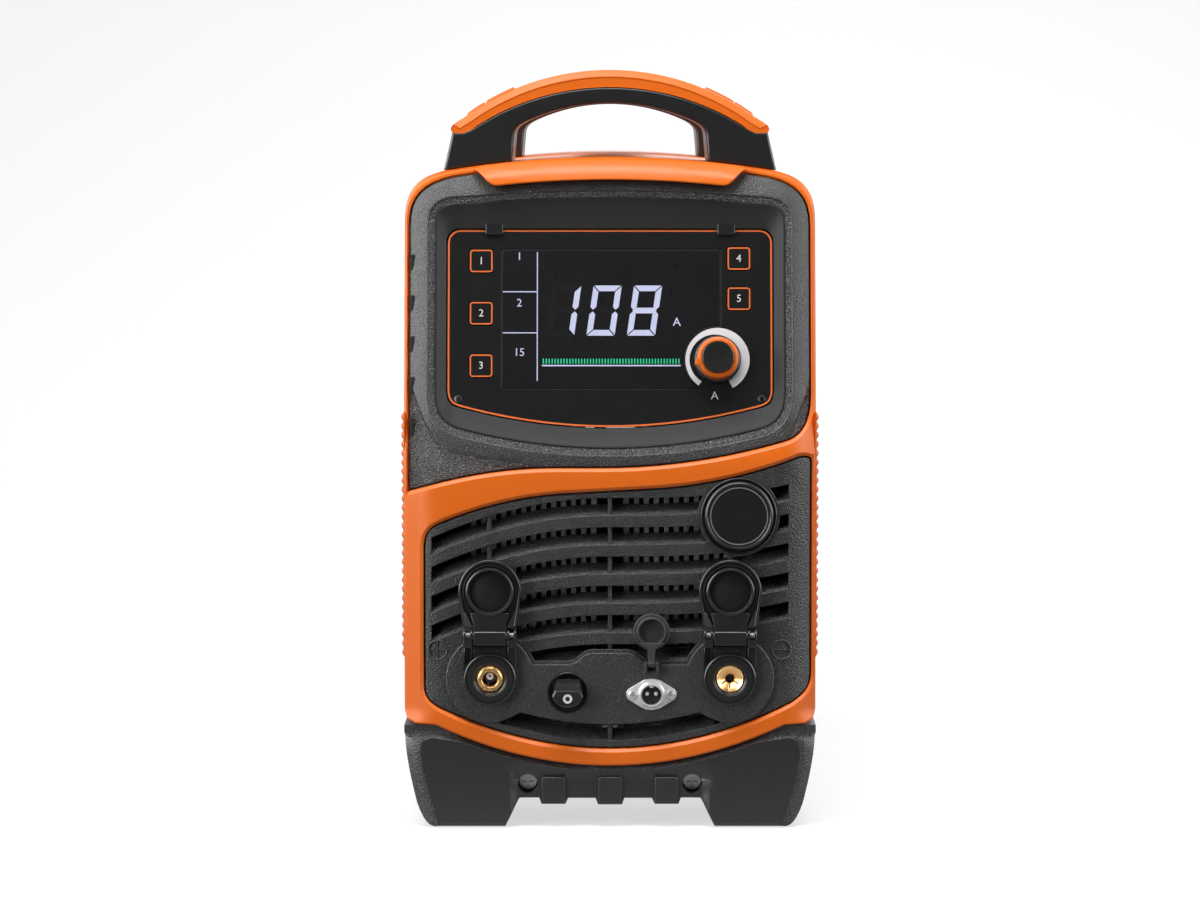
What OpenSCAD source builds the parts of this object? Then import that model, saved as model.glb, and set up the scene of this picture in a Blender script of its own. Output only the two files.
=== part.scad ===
// Plasma cutter unit: an inverter power source with its cutting controls,
// torch and work sockets, carrying handle, fan and mains inlet.
// Millimetres. X to the right, front face towards -Y, Z up, feet on Z = 0.

/* [Case] */
// Width over the front shell, without its grip ribs
case_w = 236; // [234:0.5:238]
// Height of the shell at its middle
case_top = 384; // [382:0.5:386]
// Front face of the shell below its lean
front_y = -245; // [-247:0.5:-243]
// Rear face of the shell
rear_y = 240; // [238:0.5:244]
// Lean of the control panel, degrees
lean = 10; // [8:0.5:11]
// Height at which the lean starts
crease_z = 212; // [210:0.5:213]
// Wall of the plastic shells
wall = 3; // [2.5:0.1:3.2]

/* [Handle] */
// Height of the top of the grip
handle_top = 434; // [432:0.5:438]
// Front face of the front arch
arch_y = -205; // [-207:0.5:-203]
// Depth of each arch along the case
arch_depth = 85; // [78:1:88]
// Length over both arches
handle_len = 376; // [370:1:380]

/* [Controls] */
// Side of a key
key_side = 13.2; // [12.5:0.1:13.4]
// Radius of the knob's skirt
knob_r = 13.5; // [12.5:0.1:14]
// Width of the display window
window_w = 125.5; // [122:0.5:127]
// Height of the display window
window_h = 79; // [76:0.5:80]

/* [Sockets] */
// Side distance of the two power sockets
socket_x = 68.5; // [67:0.5:70]
// Height of the two power sockets
socket_z = 87; // [86:0.5:88]
// Bore of the torch socket
torch_bore_r = 4.7; // [4.4:0.1:4.9]
// Bore of the work lead socket
work_bore_r = 2.6; // [2.4:0.1:2.9]

/* [Hidden] */
$fn = 48;

gap = 0.3;
half_w = case_w / 2;
frame_back = -180;
shoulder_z = 350;
cover_front = -208;
cover_back = 205;
rear_front = 176;
side_low_z = 64;
panel_y = front_y + 2;
hub_y = front_y - 1;
collar_y = hub_y - 6;

orange = [0.93, 0.45, 0.13];
black = [0.10, 0.10, 0.11];
dark = [0.16, 0.16, 0.17];
steel = [0.75, 0.76, 0.78];
brass = [0.85, 0.62, 0.30];

// ---------- outline helpers ----------
function bez(p, n = 8) = [for (i = [0:n]) let (t = i / n, s = 1 - t)
    s * s * s * p[0] + 3 * s * s * t * p[1] + 3 * s * t * t * p[2] + t * t * t * p[3]];
function mirrored(p) = [for (i = [len(p) - 1:-1:0]) [-p[i][0], p[i][1]]];
function both(p) = concat(p, mirrored(p));
function along(x0, x1, n) = [for (i = [0:n]) x0 + (x1 - x0) * i / n];

// Top of the case, lower edge of the shell, and the two edges of the S band
function top_z(x) = case_top - 0.000886 * x * x;
function shell_low_z(x) = 36 + 0.00236 * x * x;
function panel_low_z(x) = 45.8 + 0.00245 * x * x;
function band_top_z(x) = 207 - 0.00188 * pow(max(0, -x - 30), 2) + 0.00137 * pow(max(0, x + 5), 2);
function band_low_z(x) = 194.2 + 0.055 * x - 0.00248 * pow(max(0, -x - 25), 2)
    + 0.0020 * pow(max(0, x - 25), 2);

// Right half of the shell's outline, d inside it, from the bottom up
function shell_half(d) = concat(
    [for (x = along(0, 100, 8)) [x, shell_low_z(x) + d]],
    [[half_w - 6 - d, 60.2 + d], [half_w - 1.6 - d, 63 + d], [half_w - d, 68 + d]],
    bez([[half_w - d, 348], [half_w - d, 366], [half_w - 8 - d, 373.5 - d], [92, top_z(92) - d]]),
    [for (x = along(80, 0, 6)) [x, top_z(x) - d]]);
function shell_outline(d = 0) = both(shell_half(d));

upper_left = -115.8;
upper_right = 115.2;
lower_left = -106.6;
lower_right = 115.5;
strip = 3.6;

// Window for the control panel; g makes the panel that much smaller
function upper_outline(g = 0) = concat(
    [for (x = along(upper_left + g, 98, 24)) [x, band_top_z(x) + g]],
    bez([[100, band_top_z(100) + g], [108, 224 + g], [upper_right - g, 231], [upper_right - g, 248]]),
    bez([[upper_right - g, 344], [upper_right - g, 362], [107 - g, 369.5 - g],
        [90, top_z(90) - strip - g]]),
    [for (x = along(78, -78, 12)) [x, top_z(x) - strip - g]],
    bez([[-90, top_z(90) - strip - g], [-107 + g, 369.5 - g], [upper_left + g, 362],
        [upper_left + g, 344]]));

// Window for the louvred panel
function lower_outline(g = 0) = concat(
    bez([[lower_left + g, 82], [lower_left + g, 75], [-103, 72.5 + g], [-98, panel_low_z(98) + g]], 5),
    [for (x = along(-90, 96, 16)) [x, panel_low_z(x) + g]],
    bez([[104, panel_low_z(104) + g], [112, 77.5 + g], [lower_right - g, 81], [lower_right - g, 90]], 5),
    bez([[lower_right - g, 210], [lower_right - g, 214.5 - g], [112, 214 - g],
        [108, band_low_z(108) - g]], 4),
    [for (x = along(102, -94, 20)) [x, band_low_z(x) - g]],
    bez([[-98, band_low_z(-98) - g], [-104, 172.5 - g], [lower_left + g, 169],
        [lower_left + g, 160]], 4));

// Solid between two depths under an outline drawn in X and Z
module xz(y0, y1) {
    translate([0, y1, 0]) rotate([90, 0, 0]) linear_extrude(y1 - y0) children();
}
// Slab that stands upright below the crease and leans above it
module lean_slab(y0, thick, z0 = 20, z1 = 400) {
    run = (z1 - crease_z) * tan(lean);
    rotate([90, 0, 90]) linear_extrude(300, center = true) polygon([[y0, z0], [y0, crease_z],
        [y0 + run, z1], [y0 + thick + run, z1], [y0 + thick, crease_z], [y0 + thick, z0]]);
}
// Frame of the leaning panel: X across, Y into the case, Z up the slope
module on_slope() {
    translate([0, panel_y, crease_z]) rotate([-lean, 0, 0]) children();
}
function slope_z(z) = (z - crease_z) / cos(lean);
module tube(r_out, r_in, y0, y1) {
    xz(y0, y1) difference() {
        circle(r_out);
        circle(r_in);
    }
}
module rod(r, y0, y1) {
    xz(y0, y1) circle(r);
}
module block(x0, x1, y0, y1, z0, z1) {
    translate([x0, y0, z0]) cube([x1 - x0, y1 - y0, z1 - z0]);
}

// ---------- front shell ----------
rib_pitch = 5.2;
rib_count = 27;
rib_low = 98;
rib_out = 2;

module flank_ribs() {
    profile = concat([for (i = [0:rib_count - 1], k = [0, 1, 2])
        [half_w - 0.5 + (k == 1 ? rib_out : k == 2 ? rib_out - 0.4 : 0),
            rib_low + rib_pitch * (i + [0, 0.5, 0.8][k])]],
        [[half_w - 0.5, rib_low + rib_pitch * rib_count], [half_w - 1, rib_low + rib_pitch * rib_count],
        [half_w - 1, rib_low]]);
    for (side = [0, 1]) mirror([side, 0, 0]) xz(front_y + 8, frame_back - 8) polygon(profile);
}

module front_frame() {
    color(orange) {
        difference() {
            intersection() {
                xz(front_y - 5, frame_back) polygon(shell_outline());
                lean_slab(front_y, 120);
            }
            intersection() {
                xz(front_y, 0) polygon(shell_outline(wall));
                lean_slab(front_y + 6, 140);
            }
            xz(front_y - 20, front_y + 50) polygon(upper_outline());
            xz(front_y - 20, front_y + 30) polygon(lower_outline());
            // The top cover laps over the shoulders behind the lip
            block(-150, 150, cover_front, 0, shoulder_z, 420);
        }
        flank_ribs();
    }
}

lip_low_z = 371;
module hood_lip() {
    color(orange) intersection() {
        lean_slab(front_y - 5, 5 - 0.02);
        xz(front_y - 20, front_y + 60) polygon(both(concat(
            [for (x = along(0, 66, 6)) [x, lip_low_z - 0.00085 * x * x]],
            [[70, lip_low_z - 3.2], [73.5, 370.5], [76, 375.5], [79, 378.1]],
            [for (x = along(70, 0, 4)) [x, top_z(x) - 0.4]])));
    }
}

// ---------- control panel ----------
recess_half = 104;
recess_depth = 7;
// Outline of the dished recess in the slope's own plane, d inside it
function recess_half_points(d) = concat(
    [for (x = along(0, 78, 8)) [x, slope_z(214.5) + 0.0015 * x * x + d]],
    bez([[86, slope_z(214.5) + 0.0015 * 7396 + d], [97 - d, 17 + d], [recess_half - d, 24 + d],
        [recess_half - d, 40]], 6),
    bez([[recess_half - d, 136], [recess_half - d, 145 - d], [99 - d, slope_z(360) - d],
        [88, slope_z(361) - d]], 6),
    [for (x = along(78, 0, 6)) [x, slope_z(364.5) - 0.0005 * x * x - d]]);
function recess_outline(d) = both(recess_half_points(d));

module upper_panel() {
    color(black) difference() {
        union() {
            intersection() {
                lean_slab(panel_y, 3.6);
                xz(front_y - 20, front_y + 60) polygon(upper_outline(gap));
            }
            on_slope() xz(-1.2, recess_depth) polygon(recess_outline(-5));
        }
        on_slope() xz(-10, 30) polygon(recess_outline(4));
        // Vent notches down the left edge
        for (i = [0:3]) translate([upper_left + 2.5, 0, 323.5 - 23.2 * i])
            block(-1.2, 2.2, -260, -200, -6, 6);
    }
}

window_x = 0.6;
window_z = 292.5;
key_places = [[-73.9, 325.5], [-73.9, 295.7], [-73.9, 265.9], [74, 326.9], [74, 304]];
knob_place = [61.6, 269.3];
fascia_thick = 3;

module at_panel(p) {
    on_slope() translate([p[0], 0, slope_z(p[1])]) children();
}

module control_fascia() {
    color(dark) difference() {
        on_slope() xz(recess_depth, recess_depth + fascia_thick) polygon(recess_outline(0));
        at_panel([window_x, window_z]) block(-window_w / 2 - 0.1, window_w / 2 + 0.1, 0, 20,
            -window_h / 2 - 0.1, window_h / 2 + 0.1);
        for (p = key_places) at_panel(p) block(-key_side / 2 - gap, key_side / 2 + gap, 0, 20,
            -key_side / 2 - gap, key_side / 2 + gap);
        at_panel(knob_place) rod(5, 0, 20);
        for (x = [-1, 1]) at_panel([88.3 * x, 245.8]) rod(1.6, 0, 20);
    }
}

module lcd_window() {
    color([0.05, 0.05, 0.06]) difference() {
        at_panel([window_x, window_z]) block(-window_w / 2, window_w / 2,
            recess_depth, recess_depth + 2, -window_h / 2, window_h / 2);
        at_panel(knob_place) rod(5, 0, 20);
    }
}
module lcd_module() {
    color([0.3, 0.32, 0.3]) at_panel([window_x - 4, window_z]) block(-52, 52,
        recess_depth + fascia_thick + 0.2, 18, -34, 34);
}
board_y = 22;
module control_board() {
    color([0.1, 0.35, 0.2]) on_slope() difference() {
        block(-92, 92, board_y, board_y + 1.6, 30, 140);
        translate([knob_place[0], 0, slope_z(knob_place[1])]) rod(3.4, 0, 40);
    }
    color(steel) for (x = [-84, 84], z = [38, 132]) on_slope() translate([x, 0, z])
        rod(2.5, recess_depth + fascia_thick, board_y);
}
module encoder() {
    color(steel) at_panel(knob_place) difference() {
        union() {
            block(-6.2, 6.2, board_y - 7, board_y, -6.2, 6.2);
            rod(4.4, recess_depth + 0.4, board_y - 7);
        }
        rod(3.05, 0, board_y - 2);
    }
}
module scale_arc() {
    color([0.85, 0.86, 0.88]) at_panel(knob_place) difference() {
        xz(recess_depth - 0.3, recess_depth) difference() {
            circle(18.3);
            translate([-1.55, 0]) circle(14.4);
            polygon([[0, 0], [-22, -30], [16, -30]]);
        }
    }
}
module fascia_clips() {
    color(black) for (x = [-66.5, 66.5]) at_panel([x, 344]) block(-5, 5, 2.4, recess_depth, 0, 14);
}
module fascia_screws() {
    color(steel) for (x = [-1, 1]) at_panel([88.3 * x, 245.8]) difference() {
        union() {
            rod(1.5, recess_depth - 0.4, recess_depth + 8);
            rod(2.4, recess_depth - 1.2, recess_depth - 0.02);
        }
        block(-1.6, 1.6, 0, recess_depth - 0.7, -0.3, 0.3);
        block(-0.3, 0.3, 0, recess_depth - 0.7, -1.6, 1.6);
    }
}

key_out = 0.6;
key_travel = 0.8;
module key_at(i) {
    color(dark) at_panel(key_places[i]) {
        block(-key_side / 2, key_side / 2, recess_depth - key_out, recess_depth + 3.4,
            -key_side / 2, key_side / 2);
        block(-2, 2, recess_depth + 3.4, board_y - key_travel - 0.5, -2, 2);
    }
}
module key_1() { key_at(0); }
module key_2() { key_at(1); }
module key_3() { key_at(2); }
module key_4() { key_at(3); }
module key_5() { key_at(4); }

knob_face = -9;
module knob() {
    color(dark) at_panel(knob_place) {
        rod(knob_r, 2, recess_depth - 0.6);
        rod(9.1, knob_face, 2);
        rod(3, 2, board_y - 3);
    }
}
module knob_ring() {
    color(orange) at_panel(knob_place) difference() {
        union() {
            rod(11.4, knob_face + 3, 1.98);
            rotate([0, -13, 0]) block(-12.8, 0, knob_face + 3, 1.98, -2.2, 2.2);
        }
        rod(9.12, -20, 20);
    }
}

// ---------- louvred lower panel ----------
slot_pitch = 16.8;
slot_high = 10;
row_top = 190;
// Where each row starts and ends; the lowest ones end behind the sockets' bosses
row_left = [-102, -102, -102, -102, -60, -60];
row_right = [102, 102, 102, 102, 102, 60];
// Rows sweep up from the left, run level at the middle and rise again
function row_z(x) = x < 0 ? -0.0022 * x * x : 0.0000073 * x * x * x;
module slot_row(i) {
    z = row_top - slot_pitch * i;
    low_z = z - slot_high;
    polygon(concat(
        [for (x = along(row_left[i], row_right[i], 20)) [x, z + row_z(x)]],
        [for (x = along(row_right[i], row_left[i], 20)) [x, low_z + 0.8 * abs(x) / 100 + row_z(x)]]));
}
hub_line_z = 95;
module hub_shape(g = 0) {
    for (x = [-socket_x, socket_x]) translate([x, socket_z - 0.5]) circle(25.5 - g);
    polygon(both(concat([for (x = along(0, 52, 4)) [x, 60.2 + 0.0026 * x * x + g]],
        [[60, 70], [60, hub_line_z - g]],
        bez([[24, hub_line_z - g], [18, hub_line_z - g], [17, 101.6 - g], [10, 101.6 - g]], 4))));
}
badge_place = [73.6, 180];
badge_r = 21.8;

module lower_panel() {
    color(black) {
        difference() {
            xz(panel_y, panel_y + 4) polygon(lower_outline(gap));
            xz(panel_y - 2, panel_y + 10) difference() {
                for (i = [0:5]) slot_row(i);
                translate(badge_place) circle(badge_r + 2);
                hub_shape(-2);
                for (x = [-69, 0, 69]) translate([x - 1.2, 0]) square([2.4, 300]);
            }
            xz(panel_y - 2, panel_y + 10) difference() {
                polygon(concat([for (x = along(-66, 66, 12)) [x, 50.5 + 0.00245 * x * x]],
                    [for (x = along(52, -52, 8)) [x, 58.5 + 0.0012 * x * x]]));
                translate([-1.2, 0]) square([2.4, 300]);
            }
            for (x = [-socket_x, socket_x]) translate([x, 0, socket_z]) rod(13, -300, -200);
            translate([switch_place[0], 0, switch_place[1]]) rod(13, -300, -200);
            connector_holes();
        }
    }
}

switch_place = [-24.1, 78.5];
connector_place = [23.7, 77.8];
module connector_holes() {
    translate([connector_place[0], 0, connector_place[1]]) {
        rod(7, -300, -200);
        for (x = [-1, 1]) translate([x * 10.7, 0, 0]) rod(1.5, -300, -200);
    }
}
module hub_plate() {
    color(black) difference() {
        xz(hub_y, panel_y) hub_shape();
        for (x = [-socket_x, socket_x]) translate([x, 0, socket_z]) rod(13, -300, -200);
        translate([switch_place[0], 0, switch_place[1]]) rod(12, -300, -200);
        connector_holes();
    }
}
module badge_disc() {
    color(dark) translate([badge_place[0], 0, badge_place[1]]) {
        tube(badge_r, 19.2, panel_y - 5, panel_y);
        rod(19.2, panel_y - 3.6, panel_y);
    }
}

// ---------- power sockets and their flip caps ----------
hinge_z = 112.5;
hinge_y = collar_y - 2;
collar_r = 15.1;
pin_r = 1.5;
module collar(x) {
    color(black) translate([x, 0, 0]) difference() {
        union() {
            translate([0, 0, socket_z]) rod(collar_r, collar_y, hub_y);
            translate([0, 0, socket_z]) rod(12.9, hub_y, panel_y + 12);
            block(-13.8, 13.8, hub_y - 3, hub_y, socket_z, 109);
            for (s = [-1, 1]) translate([s * 11.4, 0, 0]) {
                block(-2.4, 2.4, hinge_y - 2.6, hub_y, 105.4, hinge_z);
                translate([0, hinge_y, hinge_z]) rotate([0, 90, 0]) cylinder(r = 3.4, h = 4.8, center = true);
            }
        }
        translate([0, 0, socket_z]) rod(8.1, -300, -200);
        translate([0, hinge_y, hinge_z]) rotate([0, 90, 0]) cylinder(r = pin_r, h = 60, center = true);
        translate([0, 0, socket_z]) rod(10.6, collar_y - 20, collar_y + 2.2);
    }
}
module socket_sleeve(x, bore_r, depth) {
    color(brass) translate([x, 0, socket_z]) difference() {
        union() {
            rod(8.1, collar_y + 3, panel_y + 16);
            translate([0, panel_y + 22, 0]) rotate([90, 0, 0]) cylinder(r = 9.5, h = 6, $fn = 6);
        }
        rod(bore_r, collar_y, collar_y + 3 + depth);
    }
}
module hinge_pin(x) {
    color(steel) translate([x, hinge_y, hinge_z]) rotate([0, 90, 0]) cylinder(r = pin_r, h = 27.4, center = true);
}
lid_z = 2 * hinge_z - socket_z;
lid_r = 17.8;
module flip_cap(x) {
    color(black) translate([x, 0, 0]) {
        difference() {
            union() {
                translate([0, 0, lid_z]) rod(lid_r, hinge_y - 3, hinge_y + 5);
                xz(hinge_y, hinge_y + 5) polygon([[-8.4, hinge_z + 4.4], [8.4, hinge_z + 4.4],
                    [8.4, hinge_z + 7], [15.5, hinge_z + 16], [-15.5, hinge_z + 16], [-8.4, hinge_z + 7]]);
                block(-8.4, 8.4, hinge_y, hinge_y + 3.4, hinge_z, hinge_z + 6);
                translate([0, hinge_y, hinge_z]) rotate([0, 90, 0]) cylinder(r = 3.4, h = 16.8, center = true);
            }
            translate([0, 0, lid_z]) rod(collar_r + 0.4, hinge_y - 10, hinge_y + 1);
            translate([0, 0, lid_z]) rod(12.3, hinge_y - 10, hinge_y + 2.4);
            translate([0, hinge_y, hinge_z]) rotate([0, 90, 0]) cylinder(r = pin_r + 0.05, h = 60, center = true);
        }
    }
}
module torch_collar() { collar(-socket_x); }
module work_collar() { collar(socket_x); }
module torch_socket() { socket_sleeve(-socket_x, torch_bore_r, 14); }
module work_socket() { socket_sleeve(socket_x, work_bore_r, 14); }
module torch_pin() {
    color(steel) translate([-socket_x, 0, socket_z]) tube(1.9, 0.9, collar_y + 6, collar_y + 17);
}
module torch_hinge_pin() { hinge_pin(-socket_x); }
module work_hinge_pin() { hinge_pin(socket_x); }
module torch_cap() { flip_cap(-socket_x); }
module work_cap() { flip_cap(socket_x); }

// ---------- control connector ----------
barrel_r = 6.65;
barrel_out = 7.9;
fold_z = 95.9;
fold_y = hub_y - 5;
// Shut, the cap stands clear of the screw heads and its floor clear of the barrel
cap_mouth_y = 2 * fold_y - hub_y + 3.5;
cap_floor_y = 2 * fold_y - hub_y + barrel_out + 0.5;
cap_thick = 1.7;
module connector_body() {
    color(steel) translate([connector_place[0], 0, connector_place[1]]) {
        difference() {
            union() {
                xz(hub_y - 1.6, hub_y) hull() {
                    circle(9.2, $fn = 32);
                    for (x = [-1, 1]) translate([x * 10.7, 0]) circle(3.4, $fn = 32);
                }
                rod(barrel_r, hub_y - barrel_out, hub_y + 14);
            }
            rod(barrel_r - 1.1, hub_y - 10, hub_y + 2);
            for (x = [-1, 1]) translate([x * 10.7, 0, 0]) rod(1.5, -300, -200);
        }
    }
}
module connector_pins() {
    color(brass) for (x = [-2.2, 2.2]) translate([connector_place[0] + x, 0, connector_place[1]])
        rod(0.9, hub_y - 5, hub_y + 1.98);
}
module connector_screws() {
    color(steel) for (x = [-1, 1]) translate([connector_place[0] + x * 10.7, 0, connector_place[1]]) {
        rod(1.45, hub_y - 1.8, panel_y + 4);
        difference() {
            rod(2.6, hub_y - 3, hub_y - 1.62);
            block(-1.8, 1.8, hub_y - 4, hub_y - 2.2, -0.35, 0.35);
        }
    }
}
module cap_strap() {
    color(dark) translate([connector_place[0], 0, 0]) {
        block(-3, 3, hub_y - 3.1, hub_y - 0.02, 87, fold_z - 4);
        block(-3, -1.6, fold_y, hub_y - 0.02, fold_z - 4, fold_z + 1.4);
        block(1.6, 3, fold_y, hub_y - 0.02, fold_z - 4, fold_z + 1.4);
        translate([0, fold_y, fold_z]) rotate([0, 90, 0]) cylinder(r = 0.8, h = 6, center = true);
    }
}
module connector_cap() {
    color(dark) translate([connector_place[0], 0, 0]) difference() {
        union() {
            translate([0, 0, 2 * fold_z - connector_place[1]]) difference() {
                rod(10.6, cap_mouth_y, cap_floor_y + cap_thick);
                rod(barrel_r + 0.5, cap_mouth_y - 5, cap_floor_y);
            }
            block(-1.3, 1.3, fold_y - 1.4, fold_y + 1.4, fold_z, fold_z + 8.5);
            translate([0, fold_y, fold_z]) rotate([0, 90, 0]) cylinder(r = 1.9, h = 2.6, center = true);
        }
        translate([0, fold_y, fold_z]) rotate([0, 90, 0]) cylinder(r = 0.85, h = 6, center = true);
    }
}

// ---------- mains switch ----------
module switch_body() {
    color(dark) translate([switch_place[0], 0, switch_place[1]]) difference() {
        union() {
            tube(11.98, 10.9, hub_y + 0.4, panel_y + 4);
            block(-16, 16, panel_y + 4.02, panel_y + 40, -12, 12);
        }
        rod(3.05, panel_y, panel_y + 20);
    }
}
module switch_knob() {
    color(black) translate([switch_place[0], 0, switch_place[1]]) {
        rod(10.4, hub_y - 1, panel_y + 3);
        block(-8.3, 8.3, hub_y - 16, hub_y - 1, -4.2, 4.2);
        rod(3, panel_y + 3, panel_y + 19);
    }
}

// ---------- bases ----------
base_top = 59.3;
base_low = 0.8;
pad_in = 38;
pad_x = 81;
pad_r = 14;
pad_thick = 3;
base_half = concat([[0, 13.2], [6.9, 13.2], [8.3, 17], [24, 17], [25.6, 13.5], [39.3, 13.5],
    [40.7, 17.2], [52.1, 17.2], [60, base_low]],
    [[101, base_low], [107.6, 4.8], [110.8, 13.8], [114, 27], [116.6, 41], [118, 54], [118, base_top]]);
screw_x = 47.2;
screw_z = 25.2;
module base_outline() {
    polygon(concat(base_half, [for (x = along(half_w - 4, 101, 2)) [x, base_top]],
        [for (x = along(100, -100, 12)) [x, shell_low_z(x) - 0.2]],
        [for (x = along(-101, -half_w + 4, 2)) [x, base_top]], mirrored(base_half)));
}
base_depth = 80;
module base(y_face, dir) {
    y0 = min(y_face, y_face + dir * base_depth);
    color(black) difference() {
        xz(y0, y0 + base_depth) base_outline();
        // Pocket behind the front wall, and a hollow in each foot
        for (s = [-1, 1]) {
            xz(min(y_face + dir * 6, y_face + dir * 76), max(y_face + dir * 6, y_face + dir * 76))
                polygon([[s * 63, 7], [s * 99, 7], [s * 108, 30], [s * 109, 56], [s * 96, 54], [s * 57, 38]]);
            translate([s * pad_x, y_face + dir * pad_in, 0]) cylinder(r = pad_r + 0.1, h = pad_thick + 0.02);
            translate([s * screw_x, 0, screw_z]) {
                rod(5.7, min(y_face - dir, y_face + dir * 18), max(y_face - dir, y_face + dir * 18));
                rod(2.6, y0 - 1, y0 + base_depth + 1);
            }
        }
        xz(min(y_face + dir * 6, y_face + dir * 81), max(y_face + dir * 6, y_face + dir * 81))
            polygon([[-40, 20.5], [40, 20.5], [40, 31], [-40, 31]]);
    }
}
base_face = front_y + 2;
rear_face = rear_y - 2;
module front_base() { base(base_face, 1); }
module rear_base() { base(rear_face, -1); }
module base_screws() {
    color(steel) for (x = [-screw_x, screw_x], r = [0, 1]) {
        y_head = r == 0 ? base_face + 18 : rear_face - 18;
        translate([x, y_head, screw_z]) rotate([0, 0, 180 * r]) difference() {
            union() {
                rod(5, -4, 0);
                rod(2.5, 0, 60);
            }
            block(-3, 3, -5, -2.4, -0.6, 0.6);
            block(-0.6, 0.6, -5, -2.4, -3, 3);
        }
    }
}
module foot_pads() {
    color([0.08, 0.08, 0.08]) for (x = [-pad_x, pad_x], y = [base_face + pad_in, rear_face - pad_in])
        translate([x, y, 0]) cylinder(r = pad_r, h = pad_thick);
}

// ---------- rear ----------
fan_z = 250;
fan_r = 56;
module rear_frame() {
    color(orange) difference() {
        xz(rear_front, rear_y) polygon(shell_outline());
        xz(rear_front - 5, rear_y - 6) polygon(shell_outline(wall));
        xz(rear_front, rear_y + 5) polygon(both(concat([[0, 72], [92, 72], [104, 84], [104, 352],
            [94, 364]], [for (x = along(80, 0, 4)) [x, top_z(x) - 14]])));
        block(-150, 150, 0, cover_back, shoulder_z, 420);
    }
}
rear_panel_y = rear_y - 9;
module rear_panel() {
    color(black) difference() {
        xz(rear_panel_y, rear_panel_y + 2.9) polygon(both(concat([[0, 66], [96, 66], [110, 80], [110, 352],
            [100, 366]], [for (x = along(80, 0, 4)) [x, top_z(x) - 10]])));
        // Fan grille: rings of slots between four spokes
        translate([0, 0, fan_z]) xz(rear_panel_y - 1, rear_panel_y + 5) difference() {
            for (r = [14:7:56]) difference() {
                circle(r);
                circle(r - 4.6);
            }
            for (a = [45:90:315]) rotate(a) translate([0, -2]) square([70, 4]);
        }
        translate([-50, 0, 130]) rod(13, 0, 300);
        translate([48, 0, 130]) rod(9, 0, 300);
        translate([48, 0, 96]) rod(4, 0, 300);
        for (i = [0:5]) block(-40, 40, 200, 300, 178 - 7 * i, 181 - 7 * i);
    }
}
fan_depth = 25;
fan_y = rear_panel_y - fan_depth - 1;
module fan_housing() {
    color(dark) translate([0, 0, fan_z]) difference() {
        union() {
            difference() {
                block(-60, 60, fan_y, fan_y + fan_depth + 0.98, -60, 60);
                rod(fan_r + 1, fan_y - 1, fan_y + fan_depth + 3);
            }
            for (a = [0:90:270]) rotate([0, a + 20, 0]) block(0, 58, fan_y, fan_y + 3, -2, 2);
            rod(18, fan_y, fan_y + 4);
        }
        rod(3.05, fan_y - 1, fan_y + 10);
    }
}
module fan_rotor() {
    color([0.12, 0.12, 0.13]) translate([0, 0, fan_z]) {
        rod(20, fan_y + 6, fan_y + 23);
        rod(3, fan_y + 0.5, fan_y + 6);
        for (a = [0:360 / 7:359]) rotate([0, a, 0]) translate([18, fan_y + 14.5, 0]) rotate([38, 0, 0])
            block(0, 35.5, -1.2, 1.2, -10.5, 10.5);
    }
}
module cable_gland() {
    color(black) translate([-50, 0, 130]) difference() {
        union() {
            translate([0, rear_panel_y + 6.9, 0]) rotate([90, 0, 0]) cylinder(r = 15, h = 4, $fn = 6);
            rod(12.9, rear_panel_y - 12, rear_panel_y + 2.9);
            translate([0, rear_panel_y + 31, 0]) rotate([90, 0, 0]) cylinder(r1 = 9.5, r2 = 12.4, h = 24.1);
        }
        rod(6.5, 0, 400);
    }
}
module air_inlet() {
    color(brass) translate([48, 0, 130]) difference() {
        union() {
            rod(8.9, rear_panel_y - 18, rear_panel_y + 2.9);
            translate([0, rear_panel_y + 8.9, 0]) rotate([90, 0, 0]) cylinder(r = 12, h = 6, $fn = 6);
            rod(6.6, rear_panel_y + 8.9, rear_panel_y + 16);
            for (i = [0:2]) translate([0, rear_panel_y + 20 + 4.4 * i, 0]) rotate([90, 0, 0])
                cylinder(r1 = 5, r2 = 6.4, h = 4.4);
        }
        rod(3.2, 0, 400);
    }
}
module earth_bolt() {
    color(steel) translate([48, 0, 96]) {
        rod(3.9, rear_panel_y - 12, rear_panel_y + 16);
        translate([0, rear_panel_y + 8.4, 0]) rotate([90, 0, 0]) cylinder(r = 7.5, h = 5.5, $fn = 6);
    }
}

// ---------- covers and chassis ----------
cover_x = 116;
sheet = 1.5;
cover_screw_places = [for (y = [-165, -60, 50, 160], z = [76, 338]) [y, z]];
module side_cover() {
    color(dark) difference() {
        union() {
            block(cover_x - sheet, cover_x, frame_back + gap, rear_front - gap, side_low_z, shoulder_z - gap);
            block(cover_x - 12, cover_x - sheet, frame_back + gap, rear_front - gap, side_low_z, side_low_z + sheet);
        }
        for (p = cover_screw_places) translate([cover_x - 20, p[0], p[1]]) rotate([0, 90, 0])
            cylinder(r = 2, h = 40);
        // Louvres: two fields of slanted slots
        for (f = [-1, 1], i = [0:8]) translate([0, -6 + f * 108, 118 + 20 * i]) rotate([24, 0, 0])
            block(cover_x - 5, cover_x + 5, -34, 34, -2, 2);
    }
}
module cover_right() { side_cover(); }
module cover_left() { mirror([1, 0, 0]) side_cover(); }
module cover_screws() {
    color(steel) for (s = [-1, 1], p = cover_screw_places)
        translate([s * cover_x, p[0], p[1]]) rotate([0, s * 90, 0]) {
            cylinder(r = 4, h = 1.8);
            translate([0, 0, -7]) cylinder(r = 1.9, h = 7);
        }
}
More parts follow.
